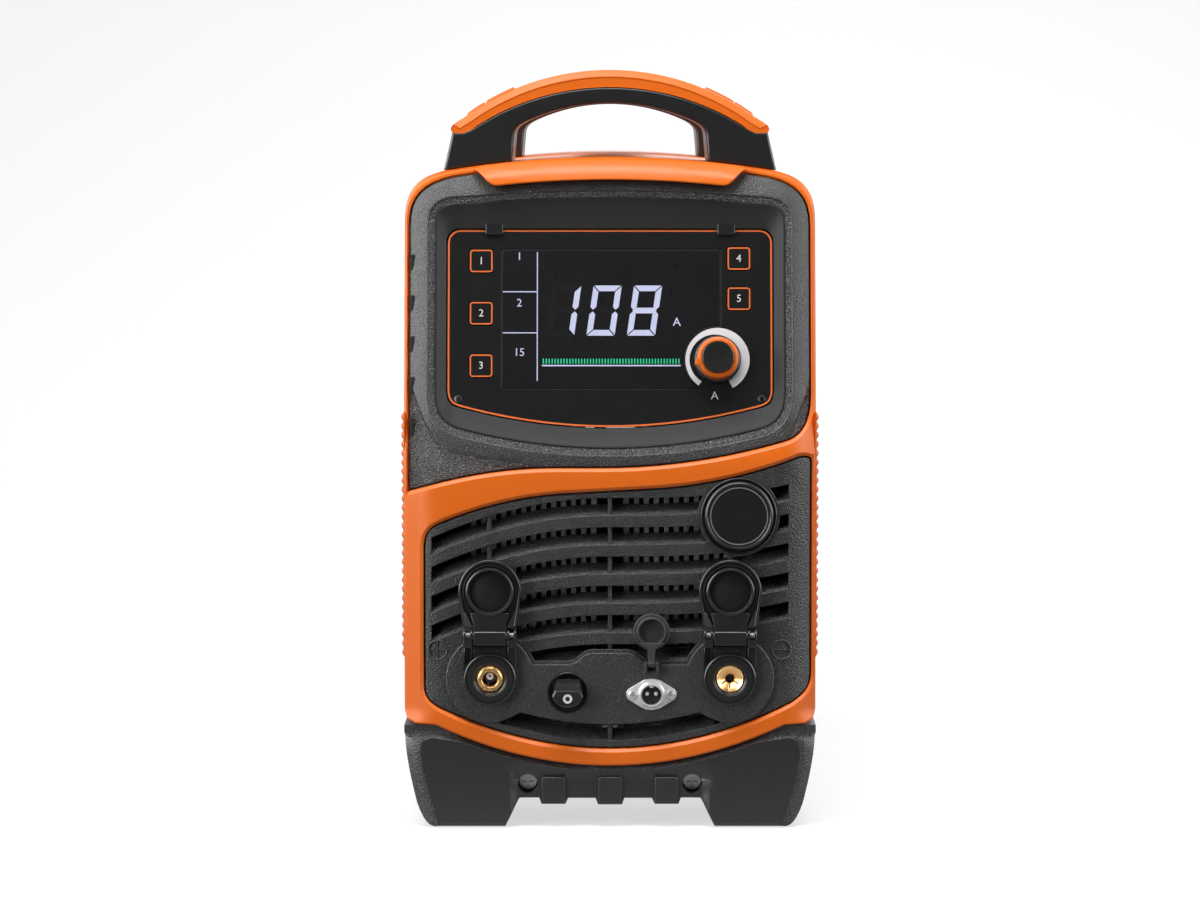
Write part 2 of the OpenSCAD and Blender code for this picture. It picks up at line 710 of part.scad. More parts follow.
module top_cover() {
    color(orange) difference() {
        xz(cover_front + gap, cover_back - gap) intersection() {
            difference() {
                polygon(shell_outline());
                polygon(shell_outline(wall));
            }
            translate([-150, shoulder_z]) square([300, 100]);
        }
        for (x = [-1, 1], y = bolt_ys) translate([76 * x, y, 300]) cylinder(r = 3.2, h = 100);
    }
}

module chassis_tray() {
    color(steel) difference() {
        union() {
            block(-103, 103, base_face + base_depth + gap, rear_face - base_depth - gap, 62, 63.6);
            block(-103, 103, base_face + base_depth + gap, rear_face - base_depth - gap, 40, 41.6);
            for (x = [-103, 101.4]) block(x, x + 1.6, base_face + base_depth + gap,
                rear_face - base_depth - gap, 41.6, 62);
        }
        for (x = [-60:30:60], y = [-120:40:120]) translate([x, y, 30]) cylinder(r = 5, h = 50);
    }
    color(steel) for (s = [-1, 1]) block(s * 60 - 12, s * 60 + 12, base_face + base_depth,
        rear_face - base_depth, 36.4, 39.98);
}
module power_board() {
    color([0.1, 0.35, 0.2]) block(-90, 90, -150, 120, 240, 242);
    color(steel) for (x = [-84, 84], y = [-142, 112]) translate([x, y, 63.6]) cylinder(r = 3, h = 176.4);
}
module heatsinks() {
    color([0.78, 0.79, 0.8]) for (x0 = [-78, 8]) {
        block(x0, x0 + 70, -228, -120, 150, 158);
        for (i = [0:9]) block(x0 + 7.4 * i, x0 + 7.4 * i + 2, -228, -120, 110, 150);
        for (x = [x0 + 7.4, x0 + 59.2]) block(x, x + 2, -140, -120, 63.62, 110);
    }
}
module transformer() {
    color([0.25, 0.22, 0.2]) block(-55, 25, -60, 30, 63.62, 95);
    color([0.6, 0.35, 0.15]) block(-45, 15, -70, 40, 95.02, 140);
    color([0.25, 0.22, 0.2]) block(-55, 25, -60, 30, 140.02, 165);
}
module inductor() {
    color([0.6, 0.35, 0.15]) translate([10, 110, 63.62]) difference() {
        cylinder(r = 42, h = 60);
        translate([0, 0, -1]) cylinder(r = 16, h = 70);
    }
}

// ---------- handle ----------
out_r = 142;
in_r = 115;
cap_r = 144;
black_top = 424;
under_z = 415;
bolt_ys = [arch_y + 22, arch_y + 63, arch_y + handle_len - 63, arch_y + handle_len - 22];
function arc_z(x, top, r) = top - r + sqrt(r * r - x * x);
function arch_black() = both(concat(
    [for (x = along(0, 44, 8)) [x, arc_z(x, under_z, in_r)]],
    bez([[48, arc_z(48, under_z, in_r)], [52, 402.3], [55, 401], [55.3, 396]], 4),
    [[56.5, top_z(56.5) + 0.2], [76, top_z(76) + 0.2], [92, top_z(92) + 0.2], [95.8, 376.3], [90.9, 398],
        [84, 398]],
    [for (x = along(79, 0, 10)) [x, arc_z(x, black_top, cap_r)]]));
function arch_orange() = both(concat(
    [for (x = along(0, 79, 10)) [x, arc_z(x, black_top, cap_r) + 0.02]],
    [[84, 398.02], [90.9, 398.02], [91.4, 401], [89, 403.6]],
    [for (x = along(83, 0, 12)) [x, arc_z(x, handle_top, out_r)]]));
arch_backs = [arch_y, arch_y + handle_len - arch_depth];

module handle_frame() {
    color(black) {
        for (y = arch_backs) xz(y, y + arch_depth) polygon(arch_black());
        block(-19, 19, arch_y + arch_depth - 0.5, arch_y + handle_len - arch_depth + 0.5, 417, black_top);
    }
}
module handle_grip() {
    color(orange) {
        for (y = arch_backs) xz(y + 0.5, y + arch_depth - 0.5) polygon(arch_orange());
        block(-21, 21, arch_y + arch_depth - 0.6, arch_y + handle_len - arch_depth + 0.6,
            black_top + 0.02, 431.5);
    }
}
module handle_bolts() {
    color(steel) for (x = [-76, 76], y = bolt_ys) translate([x, y, 0]) {
        translate([0, 0, 368]) cylinder(r = 3, h = top_z(76) - 368 - 0.5);
        translate([0, 0, 364]) cylinder(r = 6, h = 4, $fn = 6);
    }
}

front_frame();
hood_lip();
upper_panel();
control_fascia();
lcd_window();
lcd_module();
control_board();
encoder();
scale_arc();
fascia_clips();
fascia_screws();
lower_panel();
hub_plate();
badge_disc();
torch_collar();
torch_socket();
torch_pin();
torch_hinge_pin();
work_collar();
work_socket();
work_hinge_pin();
connector_body();
connector_pins();
connector_screws();
cap_strap();
switch_body();
front_base();
base_screws();
rear_frame();
rear_panel();
rear_base();
fan_housing();
cover_left();
cover_right();
cover_screws();
top_cover();
handle_frame();
handle_grip();
handle_bolts();
chassis_tray();
power_board();
heatsinks();
transformer();
inductor();
cable_gland();
air_inlet();
earth_bolt();
foot_pads();
key_1();
key_2();
key_3();
key_4();
key_5();
knob();
knob_ring();
torch_cap();
work_cap();
connector_cap();
switch_knob();
fan_rotor();
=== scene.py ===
"""Form and finish of a plasma cutter unit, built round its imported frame.

Shapes are worked out in millimetres, X to the right, Y into the case and Z up,
and become metres when a piece is made.
"""

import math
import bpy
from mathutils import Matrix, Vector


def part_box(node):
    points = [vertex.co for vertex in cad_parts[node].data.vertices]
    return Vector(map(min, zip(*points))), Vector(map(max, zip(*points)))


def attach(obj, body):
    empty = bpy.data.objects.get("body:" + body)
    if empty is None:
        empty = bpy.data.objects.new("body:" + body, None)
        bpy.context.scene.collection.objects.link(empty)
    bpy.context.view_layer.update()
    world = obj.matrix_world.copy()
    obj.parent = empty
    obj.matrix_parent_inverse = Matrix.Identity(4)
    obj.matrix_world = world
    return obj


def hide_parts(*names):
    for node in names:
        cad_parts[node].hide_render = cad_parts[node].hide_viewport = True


bl_info = {
    "name": "Plasma Cutter Unit",
    "version": (1, 0, 0),
    "blender": (4, 5, 0),
    "location": "3D View > Sidebar > Cutter",
    "description": "Builds the shell, panels, sockets and handle of a plasma cutter unit",
    "category": "Object",
}

import bmesh
import bpy
import numpy as np
from bpy.props import FloatProperty, FloatVectorProperty, PointerProperty
from mathutils import Matrix, Vector
from mathutils.geometry import delaunay_2d_cdt

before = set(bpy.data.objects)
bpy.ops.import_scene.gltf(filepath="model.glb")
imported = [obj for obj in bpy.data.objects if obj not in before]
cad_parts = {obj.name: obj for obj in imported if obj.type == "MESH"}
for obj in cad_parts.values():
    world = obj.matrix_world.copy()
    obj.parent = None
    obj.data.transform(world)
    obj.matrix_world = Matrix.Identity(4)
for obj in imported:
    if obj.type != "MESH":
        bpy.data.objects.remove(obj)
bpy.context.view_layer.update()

MM = 0.001


# ---------- places taken from the frame ----------

def low(node):
    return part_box(node)[0] / MM


def high(node):
    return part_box(node)[1] / MM


def middle(node):
    return (low(node) + high(node)) / 2


LEAN = math.radians(10)
TAN_LEAN = math.tan(LEAN)
CREASE_Z = 212.0
CREASE_EASE = 6.0
HALF_W = high("cover_right").x + 2.0
CASE_TOP = 384.0
SHOULDER_Z = 350.0
FRONT_Y = low("front_frame").y
PANEL_Y = FRONT_Y + 2
HUB_Y = low("hub_plate").y
COLLAR_Y = HUB_Y - 6
FRAME_BACK = high("front_frame").y
COVER_FRONT = low("top_cover").y
COVER_BACK = high("top_cover").y
REAR_Y = high("rear_frame").y
REAR_FRONT = low("rear_frame").y
SOCKET_X = middle("work_socket").x
SOCKET_Z = middle("work_socket").z
HINGE_Y = middle("work_hinge_pin").y
HINGE_Z = middle("work_hinge_pin").z
LID_Z = 2 * HINGE_Z - SOCKET_Z
SWITCH = middle("switch_body")
CONNECTOR = middle("connector_body")
BADGE = middle("badge_disc")
FACE_DEPTH = 7.0
KEY_SIDE = high("key_1").x - low("key_1").x
KEYS = ("key_1", "key_2", "key_3", "key_4", "key_5")
KNOB_X = 61.6
KNOB_Z = 269.3
WINDOW_X = 0.6
WINDOW_Z = 292.5
WINDOW_W = 125.5
WINDOW_H = 79.0


# ---------- sizes and colours a user may change ----------

def length(name, text, value):
    return FloatProperty(name=name, description=text, default=value * MM, min=0.0, unit="LENGTH",
                         precision=4)


def colour(name, text, value):
    return FloatVectorProperty(name=name, description=text, default=value, size=3, min=0.0, max=1.0,
                               subtype="COLOR")


class CutterSizes(bpy.types.PropertyGroup):
    """Sizes of the moulded details, in metres."""

    flank_width: length("Flank width", "Width over which the front rolls back to the sides", 21)
    flank_radius: length("Flank radius", "Radius of that roll", 30)
    lip_round: length("Lip round", "Rounding of the shell round its windows", 1.5)
    panel_round: length("Panel round", "Rounding of the black panels' edges", 0.7)
    bevel_width: length("Bevel width", "Width of the grained bevel round the controls", 4)
    line_width: length("Line width", "Width of the printed outline", 1.0)
    blade_rise: length("Blade rise", "Height that a louvre blade climbs behind the panel", 5.6)
    blade_depth: length("Blade depth", "Depth of a louvre blade behind the panel", 11)
    arch_chamfer: length("Arch chamfer", "Chamfer along the grip", 3.9)
    foot_flank: length("Foot flank", "Width of the rounded flank beside each foot's face", 11)


class CutterColours(bpy.types.PropertyGroup):
    """Base colours of the finishes."""

    shell: colour("Shell", "Orange moulded plastic", (0.86, 0.165, 0.011))
    panel: colour("Panel", "Black grained plastic", (0.023, 0.023, 0.024))
    smooth: colour("Smooth black", "Black smooth plastic", (0.024, 0.024, 0.025))
    glass: colour("Display", "Dark display window", (0.0095, 0.0095, 0.0105))
    print_light: colour("Light print", "Silver and white print", (0.76, 0.77, 0.80))
    print_orange: colour("Orange print", "Printed outlines", (0.80, 0.16, 0.03))
    digits: colour("Digits", "Lit digits", (0.37, 0.39, 0.53))
    ticks: colour("Ticks", "Lit bar of ticks", (0.01, 0.50, 0.24))
    brass: colour("Brass", "Turned brass", (0.84, 0.52, 0.22))
    zinc: colour("Zinc", "Plated steel", (0.62, 0.62, 0.63))


# ---------- outlines in X and Z ----------

def along(start, end, count):
    return [start + (end - start) * i / count for i in range(count + 1)]


def bezier(p0, p1, p2, p3, count=8):
    points = []
    for i in range(count + 1):
        t = i / count
        s = 1 - t
        points.append(tuple(s ** 3 * a + 3 * s * s * t * b + 3 * s * t * t * c + t ** 3 * d
                            for a, b, c, d in zip(p0, p1, p2, p3)))
    return points


def mirrored(points):
    return [(-x, z) for x, z in reversed(points)]


def both(points):
    return points + mirrored(points)


def disc(x, z, radius, count=64):
    return [(x + radius * math.cos(math.tau * i / count), z + radius * math.sin(math.tau * i / count))
            for i in range(count)]


def rounded_box(x, z, half_w, half_h, radius, count=5):
    points = []
    for quarter, (sx, sz) in enumerate(((1, 1), (-1, 1), (-1, -1), (1, -1))):
        for i in range(count + 1):
            a = math.pi / 2 * (quarter + i / count)
            points.append((x + sx * (half_w - radius) + radius * math.cos(a),
                           z + sz * (half_h - radius) + radius * math.sin(a)))
    return points


def area(points):
    return sum(a[0] * b[1] - b[0] * a[1] for a, b in zip(points, points[1:] + points[:1])) / 2


def tidy(points, least=0.05):
    """The outline without points that lie on top of each other."""
    kept = []
    for p in points:
        if not kept or math.dist(p, kept[-1]) > least:
            kept.append((float(p[0]), float(p[1])))
    while len(kept) > 1 and math.dist(kept[0], kept[-1]) <= least:
        kept.pop()
    return kept


def turned(points):
    """The outline, counter-clockwise."""
    points = tidy(points)
    return points if area(points) > 0 else points[::-1]


def spaced(points, step):
    """The outline with more points along its long stretches."""
    result = []
    for a, b in zip(points, points[1:] + points[:1]):
        parts = max(1, math.ceil(math.dist(a, b) / step))
        dx, dz = b[0] - a[0], b[1] - a[1]
        result += [(a[0] + dx * i / parts, a[1] + dz * i / parts) for i in range(parts)]
    return result


def inset(points, distance):
    """The outline moved to its left, which is into the material."""
    if abs(distance) < 1e-6:
        return list(points)
    moved = []
    count = len(points)
    for i, (x, z) in enumerate(points):
        before, after = points[i - 1], points[(i + 1) % count]
        ax, az = x - before[0], z - before[1]
        bx, bz = after[0] - x, after[1] - z
        la, lb = math.hypot(ax, az), math.hypot(bx, bz)
        n1, n2 = (-az / la, ax / la), (-bz / lb, bx / lb)
        share = max(0.35, 1 + n1[0] * n2[0] + n1[1] * n2[1])
        moved.append((x + (n1[0] + n2[0]) * distance / share, z + (n1[1] + n2[1]) * distance / share))
    return moved


def region(outlines, rule):
    """Loops round the part of the plane where rule(outlines that cover it) holds, material on their left."""
    points, faces = [], []
    for outline in outlines:
        outline = turned(outline)
        faces.append(list(range(len(points), len(points) + len(outline))))
        points += [Vector(p) for p in outline]
    found, _, triangles, _, _, sources = delaunay_2d_cdt(points, [], faces, 0, 1e-3)
    follow = {}
    for triangle, covers in zip(triangles, sources):
        if rule(set(covers)):
            for a, b in zip(triangle, list(triangle[1:]) + [triangle[0]]):
                follow[(a, b)] = True
    edges = {}
    for a, b in follow:
        if (b, a) not in follow:
            edges.setdefault(a, []).append(b)
    loops = []
    while edges:
        start = next(iter(edges))
        loop, here = [], start
        while here in edges:
            loop.append(here)
            after = edges[here].pop()
            if not edges[here]:
                del edges[here]
            here = after
        outline = tidy([tuple(found[i]) for i in loop])
        if len(outline) > 2 and abs(area(outline)) > 0.3:
            loops.append(outline)
    return loops


def without(base, *holes):
    return region([base, *holes], lambda covers: covers == {0})


def distance_to(points, closed=True):
    """Function of a place that gives its distance to a line through these points."""
    start = np.array(points, float)
    end = np.roll(start, -1, 0)
    if not closed:
        start, end = start[:-1], end[:-1]
    run = end - start
    squared = (run * run).sum(1).clip(1e-9)

    def measure(x, z):
        t = (((x - start[:, 0]) * run[:, 0] + (z - start[:, 1]) * run[:, 1]) / squared).clip(0, 1)
        return float(np.hypot(start[:, 0] + t * run[:, 0] - x, start[:, 1] + t * run[:, 1] - z).min())

    return measure


def ease(t):
    t = min(1.0, max(0.0, t))
    return t * t * (3 - 2 * t)


def quarter_round(radius):
    """Steps round an edge of this radius, as distances from the side and from the front."""
    turns = along(0, math.pi / 2, ROUND_STEPS)
    return [(radius * (1 - math.sin(a)), radius * (1 - math.cos(a))) for a in turns]


# ---------- meshes ----------

ROUND_STEPS = 4
WELD = 0.004
SMOOTH_ANGLE = math.radians(32)


class Shape:
    """Faces gathered in millimetres, then made into one object."""

    def __init__(self, place=None):
        self.bm = bmesh.new()
        self.place = place or Matrix.Identity(4)
        self.paint = 0

    def vert(self, x, y, z):
        return self.bm.verts.new(self.place @ Vector((x, y, z)))

    def face(self, corners):
        if len(set(corners)) > 2:
            self.bm.faces.new(corners).material_index = self.paint

    def strip(self, rings, closed=True, caps=False):
        """Quads between rings of equally many points."""
        rows = [[self.vert(*p) for p in ring] for ring in rings]
        count = len(rows[0])
        for a, b in zip(rows, rows[1:]):
            for i in range(count if closed else count - 1):
                j = (i + 1) % count
                self.face((a[i], a[j], b[j], b[i]))
        if caps:
            self.face(rows[0][::-1])
            self.face(rows[-1])

    def lathe(self, profile, steps=72, closed=False):
        """A profile of (radius, y) turned about the Y axis."""
        rows = profile + profile[:1] if closed else profile
        turns = [math.tau * i / steps for i in range(steps)]
        self.strip([[(r * math.cos(a), y, r * math.sin(a)) for a in turns] for r, y in rows])

    def box(self, x0, x1, y0, y1, z0, z1, bevel=0.4, segments=2):
        """A block with rounded edges."""
        made = bmesh.ops.create_cube(self.bm, size=1.0)
        for v in made["verts"]:
            v.co = Vector((x0 + (x1 - x0) * (v.co.x + 0.5), y0 + (y1 - y0) * (v.co.y + 0.5),
                           z0 + (z1 - z0) * (v.co.z + 0.5)))
        edges = list({e for v in made["verts"] for e in v.link_edges})
        verts = list(made["verts"])
        if bevel:
            result = bmesh.ops.bevel(self.bm, geom=edges, offset=bevel, segments=segments, affect="EDGES",
                                     profile=0.5)
            verts = list({v for f in result["faces"] for v in f.verts} | {v for v in verts if v.is_valid})
        faces = {f for v in verts for f in v.link_faces}
        for f in faces:
            f.material_index = self.paint
        for v in verts:
            v.co = self.place @ v.co

    def surface(self, loops, depth, pitch=5.0, lines=()):
        """Fills what the loops bound; depth(x, z) gives each point's Y and lines are kept as creases."""
        points, faces, edges = [], [], []
        for loop in loops:
            ring = loop if area(loop) > 0 else loop[::-1]
            faces.append(list(range(len(points), len(points) + len(ring))))
            points += ring
        for line in lines:
            edges += [(len(points) + i, len(points) + i + 1) for i in range(len(line) - 1)]
            points += line
        taken = np.array(points)
        inner = []
        if pitch:
            (x0, z0), (x1, z1) = taken.min(0), taken.max(0)
            rows = max(1, round((z1 - z0) / pitch))
            columns = max(1, round((x1 - x0) / pitch))
            for z in along(z0, z1, rows)[1:-1]:
                for x in along(x0, x1, columns)[1:-1]:
                    if np.hypot(taken[:, 0] - x, taken[:, 1] - z).min() > 0.55 * pitch:
                        inner.append((x, z))
        coords = [Vector(p) for p in points + inner]
        found, _, triangles, _, _, sources = delaunay_2d_cdt(coords, edges, faces, 0, 1e-5)
        verts = {}
        for triangle, covers in zip(triangles, sources):
            if len(covers) % 2:
                for i in triangle:
                    if i not in verts:
                        x, z = found[i]
                        verts[i] = self.vert(x, depth(x, z), z)
                self.face([verts[i] for i in triangle])

    def plate(self, loops, front, back, edge=0.7, hole_edge=None, pitch=5.0, back_pitch=None, chamfer=0.0,
              lines=()):
        """A plate between two depths, which are functions of (x, z); its front edges are rounded."""
        fronts, backs = [], []
        for loop in loops:
            loop = spaced(loop, pitch or 8.0)
            radius = edge if area(loop) > 0 or hole_edge is None else hole_edge
            rings = []
            if chamfer:
                rings += [(chamfer + radius * 0.4, 0.0), (chamfer, radius * 0.15),
                          (radius * 0.45, chamfer - radius * 0.35), (0.0, chamfer + radius * 0.4)]
            elif radius:
                rings += quarter_round(radius)
            else:
                rings.append((0.0, 0.0))
            outlines = [(inset(loop, d), e) for d, e in rings]
            depths = [[(x, front(x, z) + e, z) for x, z in outline] for outline, e in outlines]
            depths.append([(x, back(x, z), z) for x, z in loop])
            self.strip(depths)
            fronts.append(outlines[0][0])
            backs.append(loop)
        self.surface(fronts, front, pitch, lines)
        self.surface(backs, back, back_pitch)

    def inked(self, loops):
        """A layer of ink on a face."""
        self.plate(loops, level(-0.05), level(0.02), edge=0.0, pitch=None)

    def make(self, name, finish, body="case", replaces=(), angle=SMOOTH_ANGLE, extra=()):
        """Turns the faces into an object that rides on a body."""
        bm = self.bm
        bmesh.ops.remove_doubles(bm, verts=bm.verts, dist=WELD)
        bmesh.ops.dissolve_degenerate(bm, dist=WELD / 4, edges=bm.edges)
        bmesh.ops.recalc_face_normals(bm, faces=bm.faces)
        bmesh.ops.scale(bm, vec=(MM, MM, MM), verts=bm.verts)
        mesh = bpy.data.meshes.new(name)
        bm.to_mesh(mesh)
        bm.free()
        mesh.shade_smooth()
        mesh.set_sharp_from_angle(angle=angle)
        piece = bpy.data.objects.new(name, mesh)
        bpy.context.scene.collection.objects.link(piece)
        for used in (finish, *extra):
            mesh.materials.append(bpy.data.materials[used])
        weighted = piece.modifiers.new("Even shading", "WEIGHTED_NORMAL")
        weighted.keep_sharp = True
        weighted.weight = 60
        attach(piece, body)
        if replaces:
            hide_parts(*replaces)
        return piece


def level(y):
    return lambda x, z: y


def at(x, y, z):
    """Frame of a piece that lies square to the case."""
    return Matrix.Translation((x, y, z))


# ---------- shader node groups ----------

def put(tree, kind, values=None, **settings):
    node = tree.nodes.new("ShaderNode" + kind)
    for key, value in settings.items():
        setattr(node, key, value)
    for key, value in (values or {}).items():
        node.inputs[key].default_value = value
    return node


def link(tree, source, target):
    tree.links.new(source, target)


def join(tree, giver, output, taker, entry):
    """Leads one node's output to another's input."""
    tree.links.new(giver.outputs[output], taker.inputs[entry])


def new_group(name, inputs, outputs):
    """An empty node group with its sockets, and the nodes at its two ends."""
    tree = bpy.data.node_groups.new(name, "ShaderNodeTree")
    for title, kind, value in inputs:
        socket = tree.interface.new_socket(name=title, in_out="INPUT", socket_type="NodeSocket" + kind)
        socket.default_value = value
    for title, kind in outputs:
        tree.interface.new_socket(name=title, in_out="OUTPUT", socket_type="NodeSocket" + kind)
    return tree, tree.nodes.new("NodeGroupInput"), tree.nodes.new("NodeGroupOutput")


def build_grain_group():
    """Fine pebbled grain of a moulding tool, as a height."""
    tree, start, end = new_group("Moulded grain", [("Scale", "Float", 900.0), ("Pebble", "Float", 0.5)],
                                 [("Height", "Float")])
    place = put(tree, "TexCoord")
    noise = put(tree, "TexNoise", {"Detail": 2.0, "Roughness": 0.6})
    cells = put(tree, "TexVoronoi", {"Smoothness": 0.4}, feature="SMOOTH_F1")
    mix = put(tree, "Mix", data_type="FLOAT")
    join(tree, place, "Object", noise, "Vector")
    join(tree, place, "Object", cells, "Vector")
    join(tree, start, "Scale", noise, "Scale")
    join(tree, start, "Scale", cells, "Scale")
    join(tree, start, "Pebble", mix, "Factor")
    join(tree, noise, "Fac", mix, "A")
    join(tree, cells, "Distance", mix, "B")
    join(tree, mix, "Result", end, "Height")


def build_tone_group():
    """Slow change of tone and gloss over a surface, from 0 to 1."""
    tree, start, end = new_group("Uneven tone", [("Scale", "Float", 14.0)],
                                 [("Tone", "Float"), ("Gloss", "Float")])
    place = put(tree, "TexCoord")
    broad = put(tree, "TexNoise", {"Detail": 3.0})
    fine = put(tree, "TexNoise", {"Detail": 4.0, "Roughness": 0.65})
    finer = put(tree, "Math", {1: 9.0}, operation="MULTIPLY")
    join(tree, place, "Object", broad, "Vector")
    join(tree, place, "Object", fine, "Vector")
    join(tree, start, "Scale", broad, "Scale")
    join(tree, start, "Scale", finer, 0)
    join(tree, finer, "Value", fine, "Scale")
    join(tree, broad, "Fac", end, "Tone")
    join(tree, fine, "Fac", end, "Gloss")


def build_wear_and_highlight_group():
    """Mask of raised edges, whose colour is lightened both for rubbed wear and as a painted highlight."""
    tree, start, end = new_group("Rubbed edge and painted highlight", [("Strength", "Float", 0.5)], [("Mask", "Float")])
    shape = put(tree, "NewGeometry")
    edges = put(tree, "MapRange", {"From Min": 0.53, "From Max": 0.62})
    place = put(tree, "TexCoord")
    patches = put(tree, "TexNoise", {"Scale": 60.0, "Detail": 4.0})
    broken = put(tree, "Math", operation="MULTIPLY")
    scaled = put(tree, "Math", operation="MULTIPLY")
    join(tree, shape, "Pointiness", edges, "Value")
    join(tree, place, "Object", patches, "Vector")
    join(tree, edges, "Result", broken, 0)
    join(tree, patches, "Fac", broken, 1)
    join(tree, broken, "Value", scaled, 0)
    join(tree, start, "Strength", scaled, 1)
    join(tree, scaled, "Value", end, "Mask")


def build_turning_group():
    """Fine lines of a turned, drawn or brushed metal, as a height and a tone."""
    tree, start, end = new_group("Tool lines",
                                 [("Stretch", "Vector", (1.0, 1.0, 1.0)), ("Scale", "Float", 400.0)],
                                 [("Height", "Float"), ("Tone", "Float")])
    place = put(tree, "TexCoord")
    stretch = put(tree, "VectorMath", operation="MULTIPLY")
    lines = put(tree, "TexNoise", {"Detail": 3.0})
    clouds = put(tree, "TexNoise", {"Scale": 90.0, "Detail": 3.0})
    join(tree, place, "Object", stretch, 0)
    join(tree, start, "Stretch", stretch, 1)
    join(tree, stretch, "Vector", lines, "Vector")
    join(tree, start, "Scale", lines, "Scale")
    join(tree, place, "Object", clouds, "Vector")
    join(tree, lines, "Fac", end, "Height")
    join(tree, clouds, "Fac", end, "Tone")


# ---------- finishes ----------


def blank_material(name):
    material = bpy.data.materials.new(name)
    material.use_nodes = True
    tree = material.node_tree
    return material, tree, tree.nodes["Principled BSDF"]


def use_group(tree, name, **values):
    node = tree.nodes.new("ShaderNodeGroup")
    node.node_tree = bpy.data.node_groups[name]
    for key, value in values.items():
        node.inputs[key].default_value = value
    return node


def shaded(tree, tone, colour_value, spread):
    """Colour that runs from a little darker to a little lighter with the tone."""
    mix = put(tree, "Mix", data_type="RGBA")
    for key, factor in (("A", 1 - spread), ("B", 1 + spread)):
        mix.inputs[key].default_value = [min(1.0, c * factor) for c in colour_value] + [1.0]
    link(tree, tone, mix.inputs["Factor"])
    return mix


def spread_gloss(tree, shader, source, rough, spread=0.02):
    span = put(tree, "MapRange", {"From Min": 0.3, "From Max": 0.7, "To Min": rough - spread,
                                  "To Max": rough + spread})
    link(tree, source, span.inputs["Value"])
    join(tree, span, "Result", shader, "Roughness")


def add_bump(tree, shader, height, depth_mm, strength=1.0):
    bump = put(tree, "Bump", {"Strength": strength, "Distance": depth_mm * MM})
    link(tree, height, bump.inputs["Height"])
    join(tree, bump, "Normal", shader, "Normal")


def moulded(name, base, rough, grain, grain_mm, spread=0.06, pebble=0.5, specular=0.5, wear_and_highlight=0.15,
            glint_paint=0.0, glint_lift=0.03):
    """Injection-moulded plastic, rubber or paint with a grain of this many per metre."""
    _, tree, shader = blank_material(name)
    tone = use_group(tree, "Uneven tone")
    mix = shaded(tree, tone.outputs["Tone"], base, spread)
    # Raised edges turn lighter: partly rubbed wear, partly a painted highlight.
    edge = use_group(tree, "Rubbed edge and painted highlight", Strength=wear_and_highlight)
    worn_and_lit = put(tree, "Mix", data_type="RGBA")
    worn_and_lit.inputs["B"].default_value = [min(1.0, c * 2.2 + 0.02) for c in base] + [1.0]
    join(tree, edge, "Mask", worn_and_lit, "Factor")
    join(tree, mix, "Result", worn_and_lit, "A")
    spread_gloss(tree, shader, tone.outputs["Gloss"], rough)
    pebbles = use_group(tree, "Moulded grain", Scale=grain, Pebble=pebble)
    add_bump(tree, shader, pebbles.outputs["Height"], grain_mm)
    shader.inputs["Specular IOR Level"].default_value = specular
    # Crowns of the grain's pebbles are painted lighter: painted glints.
    if glint_paint:
        glint_crowns = put(tree, "MapRange", {"From Min": 0.52, "From Max": 0.66, "To Max": glint_paint})
        glinted = put(tree, "Mix", data_type="RGBA")
        glinted.inputs["B"].default_value = [c * 3.0 + glint_lift for c in base] + [1.0]
        join(tree, pebbles, "Height", glint_crowns, "Value")
        join(tree, glint_crowns, "Result", glinted, "Factor")
        join(tree, worn_and_lit, "Result", glinted, "A")
        join(tree, glinted, "Result", shader, "Base Color")
    else:
        join(tree, worn_and_lit, "Result", shader, "Base Color")


def metal(name, base, rough, stretch, scale=400.0, line_mm=0.01, spread=0.12, metallic=1.0):
    """Bare or plated metal with the lines of its making."""
    _, tree, shader = blank_material(name)
    lines = use_group(tree, "Tool lines", Stretch=stretch, Scale=scale)
    mix = shaded(tree, lines.outputs["Tone"], base, spread)
    join(tree, mix, "Result", shader, "Base Color")
    shader.inputs["Metallic"].default_value = metallic
    spread_gloss(tree, shader, lines.outputs["Tone"], rough, 0.08)
    add_bump(tree, shader, lines.outputs["Height"], line_mm)


def display_glass(name, base):
    """Dark window over the display."""
    _, tree, shader = blank_material(name)
    tone = use_group(tree, "Uneven tone", Scale=30.0)
    mix = shaded(tree, tone.outputs["Tone"], base, 0.2)
    join(tree, mix, "Result", shader, "Base Color")
    spread_gloss(tree, shader, tone.outputs["Gloss"], 0.3, 0.03)
    shader.inputs["Specular IOR Level"].default_value = 0.3


def printed(name, base, rough=0.5, glow=0.0, specular=0.5):
    """Ink on a panel; a lit segment glows as well."""
    _, tree, shader = blank_material(name)
    tone = use_group(tree, "Uneven tone", Scale=220.0)
    mix = shaded(tree, tone.outputs["Tone"], base, 0.08)
    join(tree, mix, "Result", shader, "Base Color")
    spread_gloss(tree, shader, tone.outputs["Gloss"], rough, 0.05)
    shader.inputs["Specular IOR Level"].default_value = specular
    if glow:
        join(tree, mix, "Result", shader, "Emission Color")
        shader.inputs["Emission Strength"].default_value = glow


def board(name, base):
    """Solder resist over tracks."""
    _, tree, shader = blank_material(name)
    place = put(tree, "TexCoord")
    tracks = put(tree, "TexBrick", {"Scale": 120.0, "Mortar Size": 0.03})
    tracks.inputs["Color1"].default_value = [*base, 1.0]
    tracks.inputs["Color2"].default_value = [c * 1.5 for c in base] + [1.0]
    tracks.inputs["Mortar"].default_value = [c * 0.5 for c in base] + [1.0]
    tone = use_group(tree, "Uneven tone", Scale=60.0)
    join(tree, place, "Object", tracks, "Vector")
    join(tree, tracks, "Color", shader, "Base Color")
    spread_gloss(tree, shader, tone.outputs["Gloss"], 0.35)


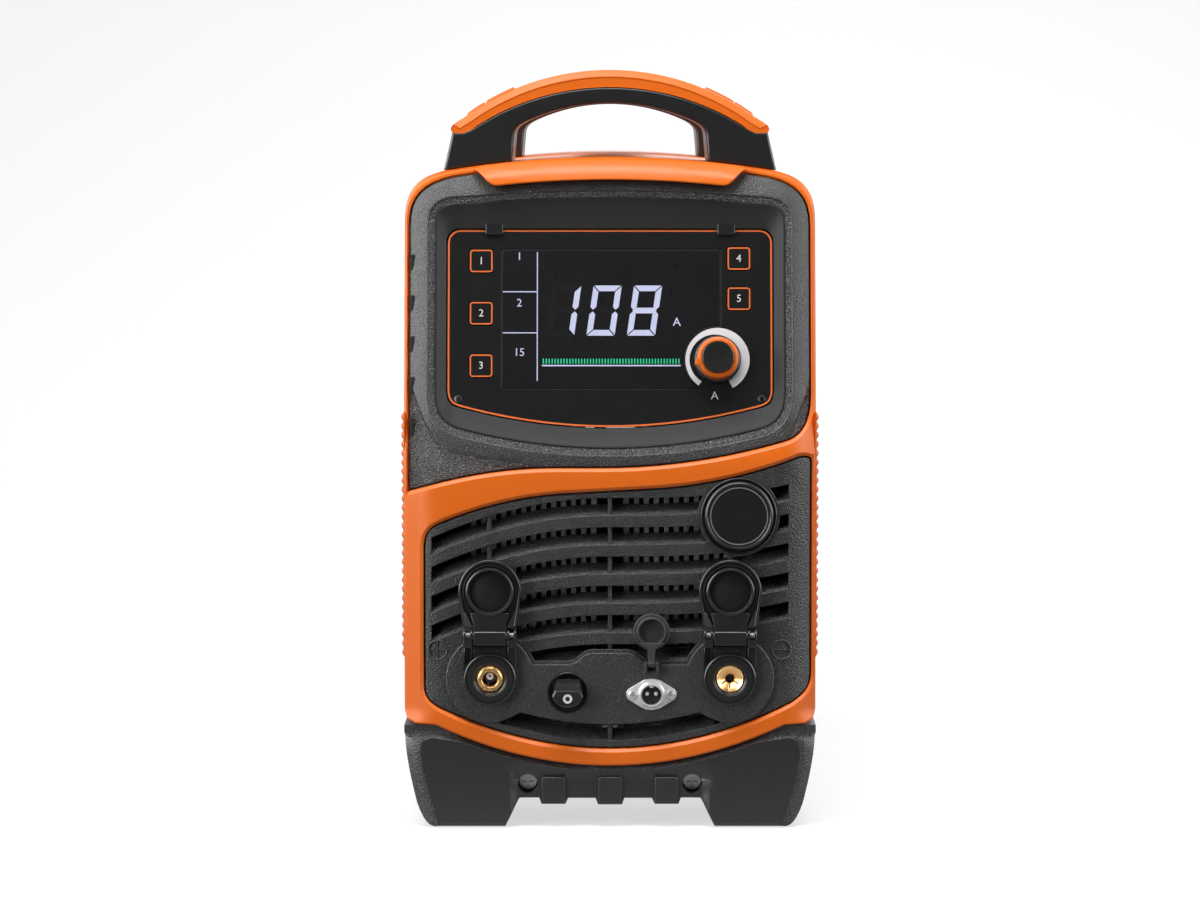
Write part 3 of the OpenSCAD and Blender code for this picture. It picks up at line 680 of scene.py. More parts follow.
def build_finishes(colours):
    """Every material of the unit."""
    build_grain_group()
    build_tone_group()
    build_wear_and_highlight_group()
    build_turning_group()
    shell, panel, smooth = colours.shell[:], colours.panel[:], colours.smooth[:]
    moulded("orange_shell", shell, 0.36, 1500.0, 0.03, spread=0.03, wear_and_highlight=0.0, specular=0.4)
    moulded("grained_black", panel, 0.33, 1250.0, 0.45, wear_and_highlight=0.15, glint_paint=0.4)
    moulded("coarse_black", [c * 0.6 for c in panel], 0.28, 1250.0, 1.3, pebble=0.4, wear_and_highlight=0.1,
            glint_paint=1.0, glint_lift=0.11)
    # Lighter copy of the panel's black for the louvre blades: painted light on their upward slopes.
    moulded("blade_black", [c * 1.3 for c in panel], 0.32, 1250.0, 0.9, pebble=0.4, wear_and_highlight=0.1,
            glint_paint=0.9, glint_lift=0.08)
    moulded("dish_black", smooth, 0.48, 1400.0, 0.04, wear_and_highlight=0.1, specular=0.2)
    moulded("smooth_black", smooth, 0.29, 1400.0, 0.06, wear_and_highlight=0.2)
    moulded("satin_black", [c * 0.62 for c in smooth], 0.3, 1600.0, 0.04, wear_and_highlight=0.2)
    # Far darker black for the floors of hollows: painted shade.
    moulded("deep_black", [c * 0.2 for c in smooth], 0.35, 1600.0, 0.02, wear_and_highlight=0.1)
    moulded("nylon_black", [c * 0.75 for c in panel], 0.24, 2400.0, 0.01, wear_and_highlight=0.3)
    moulded("fascia_black", [c * 0.42 for c in smooth], 0.3, 2600.0, 0.01, wear_and_highlight=0.1, specular=0.35)
    moulded("matt_rubber", [c * 0.9 for c in panel], 0.62, 1700.0, 0.01, wear_and_highlight=0.2)
    moulded("powder_coat", [c * 0.8 for c in panel], 0.5, 1300.0, 0.05, pebble=0.3, wear_and_highlight=0.2)
    moulded("white_ceramic", (0.72, 0.72, 0.7), 0.35, 900.0, 0.005, wear_and_highlight=0.0)
    moulded("copper_winding", (0.03, 0.016, 0.01), 0.4, 400.0, 0.2, spread=0.3, wear_and_highlight=0.1)
    display_glass("display_dark", colours.glass[:])
    printed("silver_print", colours.print_light[:])
    printed("orange_print", colours.print_orange[:])
    printed("lit_digits", colours.digits[:], glow=0.55)
    printed("unlit_digits", [c * 1.2 for c in colours.glass[:]], rough=0.32, specular=0.3)
    printed("badge_print", (0.19, 0.19, 0.195))
    printed("lit_ticks", colours.ticks[:], glow=0.35)
    metal("turned_brass", colours.brass[:], 0.26, (1.0, 0.15, 1.0), 900.0, 0.006, metallic=0.85)
    metal("plated_zinc", colours.zinc[:], 0.34, (1.0, 1.0, 1.0), 300.0, metallic=0.6)
    metal("bright_nickel", (0.84, 0.84, 0.85), 0.3, (1.0, 1.0, 1.0), 500.0, 0.003, 0.04, metallic=0.45)
    # Dark grey, far darker than bare aluminium: painted shade for the fins seen inside the case.
    metal("extruded_aluminium", (0.30, 0.31, 0.32), 0.5, (1.0, 0.05, 1.0), 500.0, 0.02, metallic=0.6)
    metal("blackened_steel", (0.10, 0.10, 0.105), 0.3, (1.0, 1.0, 1.0), 600.0, 0.004)
    board("green_board", (0.006, 0.035, 0.016))


# ---------- front shell ----------

STRIP = 3.6
UPPER_LEFT, UPPER_RIGHT = -115.8, 115.2
LOWER_LEFT, LOWER_RIGHT = -106.6, 115.5
PANEL_GAP = 0.9


def top_z(x):
    return CASE_TOP - 0.000886 * x * x


def shell_low_z(x):
    return 36 + 0.00236 * x * x


def panel_low_z(x):
    return 45.8 + 0.00245 * x * x


def band_top_z(x):
    return 207 - 0.00188 * max(0, -x - 30) ** 2 + 0.00137 * max(0, x + 5) ** 2


def band_low_z(x):
    return 194.2 + 0.055 * x - 0.00248 * max(0, -x - 25) ** 2 + 0.0020 * max(0, x - 25) ** 2


def shoulder_line(count=12):
    """The side, rounded corner and crown of the case, from the right flank to the middle."""
    corner = bezier((HALF_W, 348), (HALF_W, 366), (HALF_W - 8, 373.5), (92, top_z(92)), count)
    return [(HALF_W, 68)] + corner + [(x, top_z(x)) for x in along(80, 0, 8)]


def shell_outline():
    foot = [(x, shell_low_z(x)) for x in along(0, 100, 12)] + [(HALF_W - 6, 60.2), (HALF_W - 1.6, 63)]
    return both(foot + shoulder_line())


def upper_outline(gap=0.0):
    right, left = UPPER_RIGHT - gap, UPPER_LEFT + gap
    lift = STRIP + gap
    return ([(x, band_top_z(x) + gap) for x in along(left, 98, 32)]
            + bezier((100, band_top_z(100) + gap), (108, 224 + gap), (right, 231), (right, 248))
            + bezier((right, 344), (right, 362), (107 - gap, 369.5 - gap), (90, top_z(90) - lift))
            + [(x, top_z(x) - lift) for x in along(78, -78, 16)]
            + bezier((-90, top_z(90) - lift), (-107 + gap, 369.5 - gap), (left, 362), (left, 344)))


def lower_outline(gap=0.0):
    right, left = LOWER_RIGHT - gap, LOWER_LEFT + gap
    return (bezier((left, 82), (left, 75), (-103, 72.5 + gap), (-98, panel_low_z(98) + gap), 6)
            + [(x, panel_low_z(x) + gap) for x in along(-90, 96, 24)]
            + bezier((104, panel_low_z(104) + gap), (112, 77.5 + gap), (right, 81), (right, 90), 6)
            + bezier((right, 210), (right, 214.5 - gap), (112, 214 - gap), (108, band_low_z(108) - gap), 4)
            + [(x, band_low_z(x) - gap) for x in along(102, -94, 28)]
            + bezier((-98, band_low_z(-98) - gap), (-104, 172.5 - gap), (left, 169), (left, 160), 6))


def lean_back(z):
    """How far the front lies back at a height, its crease eased over a short stretch."""
    t = z - CREASE_Z
    if t <= -CREASE_EASE:
        return 0.0
    if t >= CREASE_EASE:
        return t * TAN_LEAN
    return (t + CREASE_EASE) ** 2 / (4 * CREASE_EASE) * TAN_LEAN


def front_face(sizes, offset=0.0):
    """Depth of the front, which leans above the crease and rolls back along the flanks and the crown."""
    flank = distance_to(shoulder_line(), closed=False)
    width, radius = sizes.flank_width / MM, sizes.flank_radius / MM

    def depth(x, z):
        inside = max(0.0, width - flank(abs(x), z))
        return FRONT_Y + offset + lean_back(z) + radius - math.sqrt(radius * radius - inside * inside)

    return depth


def build_front_frame(sizes):
    """Orange front shell with its two windows, their sloping lips and the grip ribs."""
    face = front_face(sizes)
    shape = Shape()
    loops = without(shell_outline(), upper_outline(), lower_outline())
    outer = max(loops, key=area)
    windows = [loop for loop in loops if area(loop) < 0]
    lip = sizes.lip_round / MM
    outer = spaced(outer, 4.0)

    def reach(z):
        return FRAME_BACK if z < SHOULDER_Z else COVER_FRONT - 0.3

    wall = 3.0
    rings = [[(x, face(x, z) + e, z) for x, z in inset(outer, d)] for d, e in quarter_round(lip)]
    rings.append([(x, reach(z), z) for x, z in outer])
    rings.append([(x, reach(z), z) for x, z in inset(outer, wall)])
    rings.append([(x, face(x, z) + 6, z) for x, z in inset(outer, wall)])
    shape.strip(rings)
    fronts, backs = [inset(outer, lip)], [inset(outer, wall)]
    slope = [(2.1, 0.0), (1.8, 0.08), (0.35, 1.25), (0.1, 1.6), (0.0, 2.2)]
    for window in windows:
        window = spaced(window, 4.0)
        shape.strip([[(x, face(x, z) + e, z) for x, z in inset(window, d)] for d, e in slope]
                    + [[(x, face(x, z) + 6, z) for x, z in window]])
        fronts.append(inset(window, slope[0][0]))
        backs.append(window)
    shape.surface(fronts, face, 4.0)
    shape.surface(backs, lambda x, z: face(x, z) + 6, None)
    build_flank_ribs(shape)
    shape.make("front_frame_shell", "orange_shell", replaces=["front_frame"])


SHADE_LIP_DEEP = 6.1
SHADE_LIP_THICK = 1.0
SHADE_CHEEK_X = 103.5
SHADE_CHEEK_BACK = PANEL_Y + 48
SHADE_SHEET_Y = -152.0
VENT_LOW, VENT_HIGH = 66, 205


def build_panel_shade_sheets(sizes):
    """Black lips behind the gaps round the panels, and black cheeks and sheets behind the slots and fins
    that keep light out: dark sheets that stand in for the shade inside the case.
    """
    face = front_face(sizes)
    shape = Shape()
    back = SHADE_LIP_DEEP + SHADE_LIP_THICK
    for window in (upper_outline(), lower_outline()):
        rim = spaced(turned(window), 4.0)
        inner, outer = inset(rim, 3.0), inset(rim, -1.0)
        shape.strip([[(x, face(x, z) + deep, z) for x, z in ring]
                     for ring, deep in ((outer, SHADE_LIP_DEEP), (inner, SHADE_LIP_DEEP), (inner, back), (outer, back),
                                        (outer, SHADE_LIP_DEEP))])
    for side in (-1, 1):
        inner, outer = sorted((side * SHADE_CHEEK_X, side * (SHADE_CHEEK_X + 2)))
        shape.box(inner, outer, PANEL_Y + 5, SHADE_CHEEK_BACK, VENT_LOW, VENT_HIGH - 5, 0.3, 1)
        inner, outer = sorted((side * 82.5, side * (SHADE_CHEEK_X + 2)))
        shape.box(inner, outer, SHADE_SHEET_Y, SHADE_SHEET_Y + 2, VENT_LOW, VENT_HIGH, 0.3, 1)
        inner, outer = sorted((side * 8.2, side * 79.8))
        shape.box(inner, outer, FIN_BACK - 2, FIN_BACK - 0.2, FIN_LOW + 0.2, FIN_HIGH - 0.2, 0.3, 1)
    shape.box(-7.6, 7.6, SHADE_SHEET_Y, SHADE_SHEET_Y + 2, VENT_LOW, VENT_HIGH, 0.3, 1)
    shape.make("panel_shade_sheets", "matt_rubber")


RIB_PITCH = 5.2
RIB_COUNT = 27
RIB_LOW = 98.0
RIB_OUT = 1.5


def build_flank_ribs(shape):
    """Row of rounded grip ribs on each flank of the shell."""
    for side in (-1, 1):
        wave = []
        for i in range(RIB_COUNT):
            for t in along(0, 1, 6)[:-1]:
                out = RIB_OUT * math.sin(math.pi * t) ** 0.7
                wave.append((HALF_W + out - 0.05, RIB_LOW + RIB_PITCH * (i + t)))
        wave.append((HALF_W - 0.05, RIB_LOW + RIB_PITCH * RIB_COUNT))
        flat = [(HALF_W - 0.6, z) for _, z in wave]
        front, back = FRONT_Y + 9, FRAME_BACK - 8
        rows = [(front, flat), (front, [(HALF_W - 0.05, z) for _, z in wave]), (front + 2.5, wave),
                (back - 2.5, wave), (back, [(HALF_W - 0.05, z) for _, z in wave]), (back, flat)]
        shape.strip([[(side * x, y, z) for x, z in row] for y, row in rows], closed=False)


def build_hood_lip():
    """Visor over the control panel."""
    low_z = 371.0
    outline = turned(both([(x, low_z - 0.00085 * x * x) for x in along(0, 60, 8)]
                          + bezier((64, 367.5), (70.5, 366.6), (72.0, 374.6), (79.0, 377.6), 8)
                          + [(x, top_z(x) - 0.2) for x in along(74, 0, 6)]))
    crown = distance_to([(x, top_z(x)) for x in along(-90, 90, 24)], closed=False)
    roll = 9.0

    def front(x, z):
        inside = max(0.0, roll - crown(x, z))
        tilt = 0.22 * max(0.0, z - low_z)
        return FRONT_Y - 4.6 + tilt + lean_back(z) + 10 - math.sqrt(100 - inside * inside)

    shape = Shape()
    shape.plate([outline], front, lambda x, z: FRONT_Y + lean_back(z) + 6, edge=1.1, pitch=3.0)
    shape.make("hood_lip_visor", "orange_shell", replaces=["hood_lip"])


# ---------- control panel ----------

RECESS_HALF = 104.0
COS_LEAN = math.cos(LEAN)
SIN_LEAN = math.sin(LEAN)
SLOPE = at(0, PANEL_Y, CREASE_Z) @ Matrix.Rotation(-LEAN, 4, "X")


def slope_z(z):
    return (z - CREASE_Z) / COS_LEAN


def at_panel(x, z, depth=0.0):
    """Frame of a piece on the leaning panel."""
    return SLOPE @ at(x, depth, slope_z(z))


def recess_outline(d):
    """Outline of the bevel round the controls, d inside it."""
    half, corner = RECESS_HALF, (99 - d, slope_z(360) - d)
    points = [(x, 2.54 + 0.0015 * x * x + d) for x in along(0, 78, 12)]
    points += bezier((86, 2.54 + 11.1 + d), (97 - d, 17 + d), (half - d, 24 + d), (half - d, 40), 10)
    points += bezier((half - d, 136), (half - d, 145 - d), corner, (88, slope_z(361) - d), 10)
    points += [(x, slope_z(364.5) - 0.0005 * x * x - d) for x in along(78, 0, 10)]
    return turned([(x, CREASE_Z + v * COS_LEAN) for x, v in both(points)])


FACE_HALF = 93.4
FACE_TOP = 342.4
FACE_CORNER = 7.4


def fascia_low_z(x):
    return 229.6 + 0.00157 * x * x


def fascia_outline(d=0.0):
    """Outline of the control fascia, d inside it."""
    half, crown, r = FACE_HALF - d, FACE_TOP - d, FACE_CORNER - d / 2
    points = [(x, fascia_low_z(x) + d) for x in along(0, 78, 10)]
    points += bezier((82, fascia_low_z(82) + d), (90 - d, 242 + d), (half, 243 + d), (half, 252), 8)
    points += [(half - r + r * math.cos(a), crown - r + r * math.sin(a)) for a in along(0, math.pi / 2, 8)]
    return turned(both(points))


def fascia_y(x, z, depth=FACE_DEPTH):
    """Y of the leaning plane this deep behind the panel."""
    return PANEL_Y + (z - CREASE_Z) * TAN_LEAN + depth / COS_LEAN


def rim_z(x):
    """Lower edge of the smooth rim round the controls."""
    x = abs(x)
    return 206.5 + 0.00115 * x * x + (0.06 * max(0.0, x - 90) ** 2)


RIM_OUT = 1.2
NOTCH_COUNT = 5
NOTCH_TOP = 323.5
NOTCH_PITCH = 23.2
NOTCH_HALF = 4.6


def build_upper_panel(sizes):
    """Panel round the controls, its grained bevel and the dish that leads down to the fascia."""
    face = front_face(sizes, PANEL_Y - FRONT_Y)
    band = sizes.bevel_width / MM
    drop = 1.4

    def surround(x, z):
        return face(x, z) + drop * ease((rim_z(x) - z) / 3)

    shape = Shape()
    outer = spaced(turned(upper_outline(PANEL_GAP)), 4.0)
    edge = sizes.panel_round / MM
    shape.strip([[(x, surround(x, z) + e, z) for x, z in inset(outer, d)] for d, e in quarter_round(edge)]
                + [[(x, face(x, z) + 3.6, z) for x, z in outer]])
    rim = spaced(recess_outline(-RIM_OUT), 4.0)
    creases = []
    for shift in (0.0, 3.0):
        creases.append([(x, rim_z(x) - shift) for x in along(-113, -12, 40)])
        creases.append([(x, rim_z(x) - shift) for x in along(100, 112, 6)])
    shape.surface([inset(outer, edge), rim[::-1]], surround, 4.0, lines=creases)
    for f in shape.bm.faces:
        centre = f.calc_center_median()
        if centre.z < rim_z(centre.x) - 0.5:
            f.material_index = 1

    def ring(d, e):
        return [(x, face(x, z) + e, z) for x, z in inset(rim, d + RIM_OUT)]

    shape.strip([ring(-RIM_OUT, 0.0), ring(-0.5, 0.12), ring(0.0, 0.5), ring(0.2, 0.95)])
    shape.paint = 1
    shape.strip([ring(0.2, 0.95), ring(band - 0.5, 2.5)])
    shape.paint = 2
    shape.strip([ring(band - 0.5, 2.5), ring(band - 0.3, 2.0), ring(band, 1.75), ring(band + 0.6, 1.8),
                 ring(band + 1.2, 2.1)])
    for i in range(NOTCH_COUNT):
        z = NOTCH_TOP - NOTCH_PITCH * i
        y = face(-112.6, z)
        shape.box(-114.4, -112.2, y - 0.3, y + 2.0, z - NOTCH_HALF, z + NOTCH_HALF, 0.5)
    mouth = inset(rim, band + RIM_OUT * 2)
    hem = spaced(fascia_outline(-0.6), 3.0)
    to_mouth, to_hem = distance_to(mouth), distance_to(hem)

    def dish(x, z):
        a, b = to_mouth(x, z), to_hem(x, z)
        share = (a / max(a + b, 1e-6)) ** 0.9
        return (face(x, z) + 2.1) * (1 - share) + fascia_y(x, z, FACE_DEPTH - 1.2) * share

    shape.surface([mouth, hem[::-1]], dish, 3.0)
    shape.strip([[(x, fascia_y(x, z, FACE_DEPTH - 1.2), z) for x, z in hem],
                 [(x, fascia_y(x, z, FACE_DEPTH + 2.8), z) for x, z in inset(hem, 0.25)],
                 [(x, fascia_y(x, z, FACE_DEPTH + 2.8), z) for x, z in inset(hem, -6)]])
    shape.make("upper_panel_surround", "grained_black", replaces=["upper_panel"],
               extra=["coarse_black", "dish_black"])


def build_fascia(sizes):
    """Plate that holds the keys and the display, its printed outline, clips and screws."""
    shape = Shape()
    holes = without(window_outline(0.3, 1.5), knob_clearing())
    half = KEY_SIDE / 2
    for node in KEYS:
        holes.append(rounded_box(middle(node).x, key_centre(node), half + 0.4, half * COS_LEAN + 0.4, 2.0))
    loops = without(fascia_outline(0.0), *holes)
    shape.plate(loops, fascia_y, lambda x, z: fascia_y(x, z, FACE_DEPTH + 2.8), edge=0.25, pitch=12.0)
    shape.make("control_fascia_plate", "fascia_black", replaces=["control_fascia"])

    line = sizes.line_width / MM
    shape = Shape()
    rim = spaced(fascia_outline(0.35), 4.0)
    shape.plate([rim, inset(rim, line)[::-1]], lambda x, z: fascia_y(x, z, FACE_DEPTH - 0.12),
                lambda x, z: fascia_y(x, z, FACE_DEPTH + 0.02), edge=0.0, pitch=None)
    shape.make("fascia_outline", "orange_print")

    shape = Shape()
    for x in (-66.5, 66.7):
        shape.place = at_panel(x, 344.0)
        tab = rounded_box(0, 0.4, 5.0, 4.2, 1.2)
        shape.plate([tab], level(FACE_DEPTH - 1.9), level(FACE_DEPTH + 0.5), edge=0.5, pitch=None)
    shape.make("fascia_hold_clips", "nylon_black", replaces=["fascia_clips"])

    shape = Shape()
    for x in (-86.9, 86.9):
        shape.place = at_panel(x, 247.0, FACE_DEPTH)
        build_cross_head(shape, 2.2, 0.7, 0.5)
        shape.lathe([(1.3, 0.0), (1.3, 5.0), (0.0, 5.0)], 24)
    shape.make("fascia_screw_heads", "blackened_steel", replaces=["fascia_screws"])


def window_outline(grow=0.0, radius=1.4):
    return rounded_box(WINDOW_X, WINDOW_Z - FACE_DEPTH * SIN_LEAN, WINDOW_W / 2 + grow, WINDOW_H / 2 + grow,
                       radius)


def knob_clearing(grow=0.0):
    """Circle round the knob's scale that the window leaves free."""
    return disc(KNOB_X, KNOB_Z - FACE_DEPTH * SIN_LEAN, 19.3 + grow, 64)


def build_cross_head(shape, radius, height, depth):
    """Pan head with a cross recess, its face towards -Y and its seat at Y 0."""
    arm = radius * 0.62
    half = radius * 0.14
    cross = [(half, half), (half, arm), (-half, arm), (-half, half), (-arm, half), (-arm, -half),
             (-half, -half), (-half, -arm), (half, -arm), (half, -half), (arm, -half), (arm, half)]
    rim = disc(0, 0, radius, 32)

    def domed(x, z):
        return -height * (1 - 0.45 * (x * x + z * z) / radius ** 2)

    shape.surface([rim, turned(cross)[::-1]], domed, radius / 5)
    shape.strip([[(x, domed(x, z), z) for x, z in turned(cross)],
                 [(x * 0.8, domed(x, z) + depth, z * 0.8) for x, z in turned(cross)],
                 [(0, -height + depth * 1.4, 0)] * len(cross)])
    shape.strip([[(x, domed(x, z), z) for x, z in rim], [(x, 0.0, z) for x, z in rim]])


def key_centre(node):
    """Height of the middle of a key's hole, a little over the middle of the key."""
    return (high(node).z + low(node).z) / 2 + 0.15


def build_display():
    """Dark window with its lit digits, cells and bar of ticks."""
    shape = Shape()
    loops = without(window_outline(), [(x * 1.001, z) for x, z in knob_clearing(0.3)])
    shape.plate(loops, lambda x, z: fascia_y(x, z, FACE_DEPTH - 0.25),
                lambda x, z: fascia_y(x, z, FACE_DEPTH + 2), edge=0.3, pitch=12.0)
    shape.make("display_window", "display_dark", replaces=["lcd_window"])
    build_lit_prints()


SEGMENTS = {"0": "abcdef", "1": "bc", "2": "abged", "3": "abgcd", "4": "fgbc", "5": "afgcd", "6": "afgedc",
            "7": "abc", "8": "abcdefg", "9": "abcdfg"}


def seven_segments(shape, lit, x, z, width, height, stroke, slant, gap=0.45):
    """Seven-segment digit whose lower-left corner is at (x, z)."""
    half = height / 2
    bars = {"a": ((0, height), (width, height), (0, -1)), "d": ((0, 0), (width, 0), (0, 1)),
            "g": ((0, half), (width, half), None), "f": ((0, half), (0, height), (1, 0)),
            "b": ((width, half), (width, height), (-1, 0)), "e": ((0, 0), (0, half), (1, 0)),
            "c": ((width, 0), (width, half), (-1, 0))}
    for name in lit:
        (x0, z0), (x1, z1), inward = bars[name]
        dx, dz = (1, 0) if z0 == z1 else (0, 1)
        if inward:
            s = stroke
            outline = [(x0 + dx * gap, z0 + dz * gap), (x1 - dx * gap, z1 - dz * gap),
                       (x1 - dx * (gap + s) + inward[0] * s, z1 - dz * (gap + s) + inward[1] * s),
                       (x0 + dx * (gap + s) + inward[0] * s, z0 + dz * (gap + s) + inward[1] * s)]
            if name in "bcef":
                at_half = z0 if abs(z0 - half) < 0.01 else z1
                outline = upright_bar(x0, z0, z1, inward[0], s, gap, at_half)
        else:
            h = stroke / 2
            tip, bend = gap + h * 0.4, gap + h * 1.4
            outline = [(tip, half), (bend, half + h), (width - gap - h * 1.4, half + h),
                       (width - gap - h * 0.4, half), (width - gap - h * 1.4, half - h), (bend, half - h)]
        outline = [(x + px + slant * pz, z + pz) for px, pz in outline]
        shape.inked([turned(outline)])


def upright_bar(x0, z0, z1, side, stroke, gap, at_half):
    """Upright segment, mitred at its outer end and pointed where it meets the middle."""
    outer_end = z1 if at_half == z0 else z0
    up = 1 if outer_end > at_half else -1
    h = stroke / 2
    inner = x0 + side * stroke
    return [(x0, outer_end - up * gap), (x0, at_half + up * (h + gap)), (x0 + side * h, at_half + up * gap),
            (inner, at_half + up * (h + gap)), (inner, outer_end - up * (stroke + gap))]


DIGIT_LOW = 283.0
DIGIT_HIGH = 29.0
DIGIT_WIDE = 16.2
DIGIT_STROKE = 3.3
DIGIT_SLANT = 0.145
DIGIT_PITCH = 23.2
DIGIT_START = -36.8
DIGITS = "108"
ON_WINDOW = FACE_DEPTH - 0.26
CELL_LINES = ((-41.7, 294.0, 0.3, 37.2), (-51.6, 308.0, 9.9, 0.3), (-51.6, 284.6, 9.9, 0.3),
              (0.7, 266.0, 39.8, 0.4))
CELL_MARKS = (("cell_mark_1", "1", -52.0, 328.0, 6.4), ("cell_mark_2", "2", -52.0, 301.5, 6.4),
              ("cell_mark_3", "15", -52.0, 273.4, 6.4), ("unit_mark", "A", 38.3, 290.6, 7.0))
TICK_COUNT = 47
TICK_START = -38.7
TICK_SPAN = 79.4
TICK_Z = 268.5
TICK_HALF = 1.45


def build_lit_prints():
    """Digits, cells, ticks and marks on the window, and the segments that aren't lit."""
    shape = Shape()
    ghost = Shape()
    for place, digit in enumerate(DIGITS):
        lit = SEGMENTS[digit]
        unlit = [bar for bar in SEGMENTS["8"] if bar not in lit]
        shape.place = ghost.place = at_panel(DIGIT_START + DIGIT_PITCH * place, DIGIT_LOW, ON_WINDOW)
        for print_shape, bars in ((shape, lit), (ghost, unlit)):
            seven_segments(print_shape, bars, 0, 0, DIGIT_WIDE, DIGIT_HIGH, DIGIT_STROKE, DIGIT_SLANT)
    shape.place = at_panel(0, CREASE_Z, ON_WINDOW)
    for x, z, half_w, half_h in CELL_LINES:
        bar = [(x - half_w, slope_z(z) - half_h), (x + half_w, slope_z(z) - half_h),
               (x + half_w, slope_z(z) + half_h), (x - half_w, slope_z(z) + half_h)]
        shape.inked([bar])
    shape.make("display_digits", "lit_digits")
    ghost.make("display_ghost_segments", "unlit_digits")
    ticks = Shape(at_panel(0, CREASE_Z, ON_WINDOW))
    pitch = TICK_SPAN / TICK_COUNT
    for i in range(TICK_COUNT):
        bar = rounded_box(TICK_START + pitch * (i + 0.3), slope_z(TICK_Z), pitch * 0.2, TICK_HALF, 0.2, 2)
        ticks.inked([bar])
    ticks.make("display_ticks", "lit_ticks")
    for name, text, x, z, size in CELL_MARKS:
        write(name, text, x, z, size, "lit_digits")
    write("scale_mark", "A", 59.9, 248.8, 6.6, "silver_print")


def write(name, text, x, z, size, finish, body="case", depth=FACE_DEPTH - 0.27):
    """Plain print on the leaning panel, its middle at (x, z)."""
    curve = bpy.data.curves.new(name, "FONT")
    curve.body = text
    curve.size = size
    curve.align_x = "CENTER"
    curve.align_y = "CENTER"
    curve.extrude = 0.02
    curve.resolution_u = 3
    source = bpy.data.objects.new(name + "_source", curve)
    bpy.context.scene.collection.objects.link(source)
    bpy.context.view_layer.update()
    mesh = bpy.data.meshes.new_from_object(source.evaluated_get(bpy.context.evaluated_depsgraph_get()))
    bpy.data.objects.remove(source)
    mesh.name = name
    mesh.transform(Matrix.Scale(MM, 4) @ at_panel(x, z, depth) @ Matrix.Rotation(math.pi / 2, 4, "X"))
    mesh.materials.clear()
    mesh.materials.append(bpy.data.materials[finish])
    piece = bpy.data.objects.new(name, mesh)
    bpy.context.scene.collection.objects.link(piece)
    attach(piece, body)
    return piece


KEY_PLACES = {"key_1": (-73.9, 325.5), "key_2": (-73.9, 295.7), "key_3": (-73.9, 265.9),
              "key_4": (74.0, 326.9), "key_5": (74.0, 304.0)}
KEY_OUT = 0.6


def build_keys(sizes):
    """Square keys with their printed frames."""
    half = KEY_SIDE / 2
    for node, (x, z) in KEY_PLACES.items():
        shape = Shape(at_panel(x, z))
        shape.plate([rounded_box(0, 0, half, half, 1.8)], level(FACE_DEPTH - KEY_OUT),
                    level(FACE_DEPTH + 3.4), edge=0.3, pitch=None)
        shape.box(-2, 2, FACE_DEPTH + 3.3, 20.6, -2, 2, 0.3)
        shape.make(node + "_cap", "fascia_black", body=node, replaces=[node])
        shape = Shape(at_panel(x, z, FACE_DEPTH - KEY_OUT))
        rim = rounded_box(0, 0, half - 0.1, half - 0.1, 1.7)
        line = 0.8 * sizes.line_width / MM
        shape.inked([rim, inset(rim, line)[::-1]])
        shape.make(node + "_frame", "orange_print", body=node)
        write(node + "_mark", node[-1], x, z, 6.0, "silver_print", node, FACE_DEPTH - KEY_OUT - 0.03)


KNOB_R = 13.5
KNOB_FACE = -9.0


def build_knob():
    """Current knob with its orange pointer ring, and the silver scale behind it."""
    shape = Shape(at_panel(KNOB_X, KNOB_Z))
    shape.lathe([(0.0, KNOB_FACE + 0.5), (4.0, KNOB_FACE + 0.45), (7.4, KNOB_FACE + 0.15), (8.1, KNOB_FACE),
                 (8.6, KNOB_FACE + 0.1), (9.0, KNOB_FACE + 0.5), (9.1, KNOB_FACE + 1.2), (9.1, 1.9),
                 (12.0, 1.9), (12.6, 2.05), (13.1, 2.5), (KNOB_R, 3.4), (KNOB_R, FACE_DEPTH - 0.6),
                 (3.0, FACE_DEPTH - 0.6), (3.0, 19.0), (0.0, 19.0)], 96)
    shape.make("knob_body", "nylon_black", body="knob", replaces=["knob"])

    shape = Shape(at_panel(KNOB_X, KNOB_Z))
    front = KNOB_FACE + 2.6
    shape.lathe([(9.15, front + 0.4), (9.35, front + 0.05), (9.9, front), (10.9, front + 0.2),
                 (11.6, front + 0.7), (11.9, front + 1.5), (12.1, 1.9), (9.15, 1.9)], 96, closed=True)
    shape.place = at_panel(KNOB_X, KNOB_Z) @ Matrix.Rotation(math.radians(-14), 4, "Y")
    pointer = [(-10.4, -2.2), (-12.2, -2.0), (-13.6, 0.0), (-12.2, 2.0), (-10.4, 2.2)]
    shape.plate([turned(pointer)], level(front - 0.3), level(1.8), edge=0.4, pitch=None)
    shape.make("knob_pointer_ring", "orange_shell", body="knob", replaces=["knob_ring"])

    shape = Shape(at_panel(KNOB_X, KNOB_Z))
    band = region([disc(0, 0, 18.4, 96), disc(-1.4, 0, 14.6, 96), [(0, 0), (-22, -30), (16, -30)]],
                  lambda covers: covers == {0})
    shape.plate(band, level(FACE_DEPTH - 0.35), level(FACE_DEPTH), edge=0.0, pitch=None)
    shape.make("knob_scale_arc", "silver_print", replaces=["scale_arc"])


# ---------- louvred panel ----------

SLOT_PITCH = 16.8
SLOT_HIGH = 10.0
ROW_TOP = 190.0
SLOT_ROWS = 6
SHORT_END = 60.0
SLOT_END = 102.0


def row_z(x):
    return -0.0022 * x * x if x < 0 else 0.0000073 * x ** 3


def slot_low_z(row, x):
    return ROW_TOP - SLOT_PITCH * row - SLOT_HIGH + 0.008 * abs(x) + row_z(x)


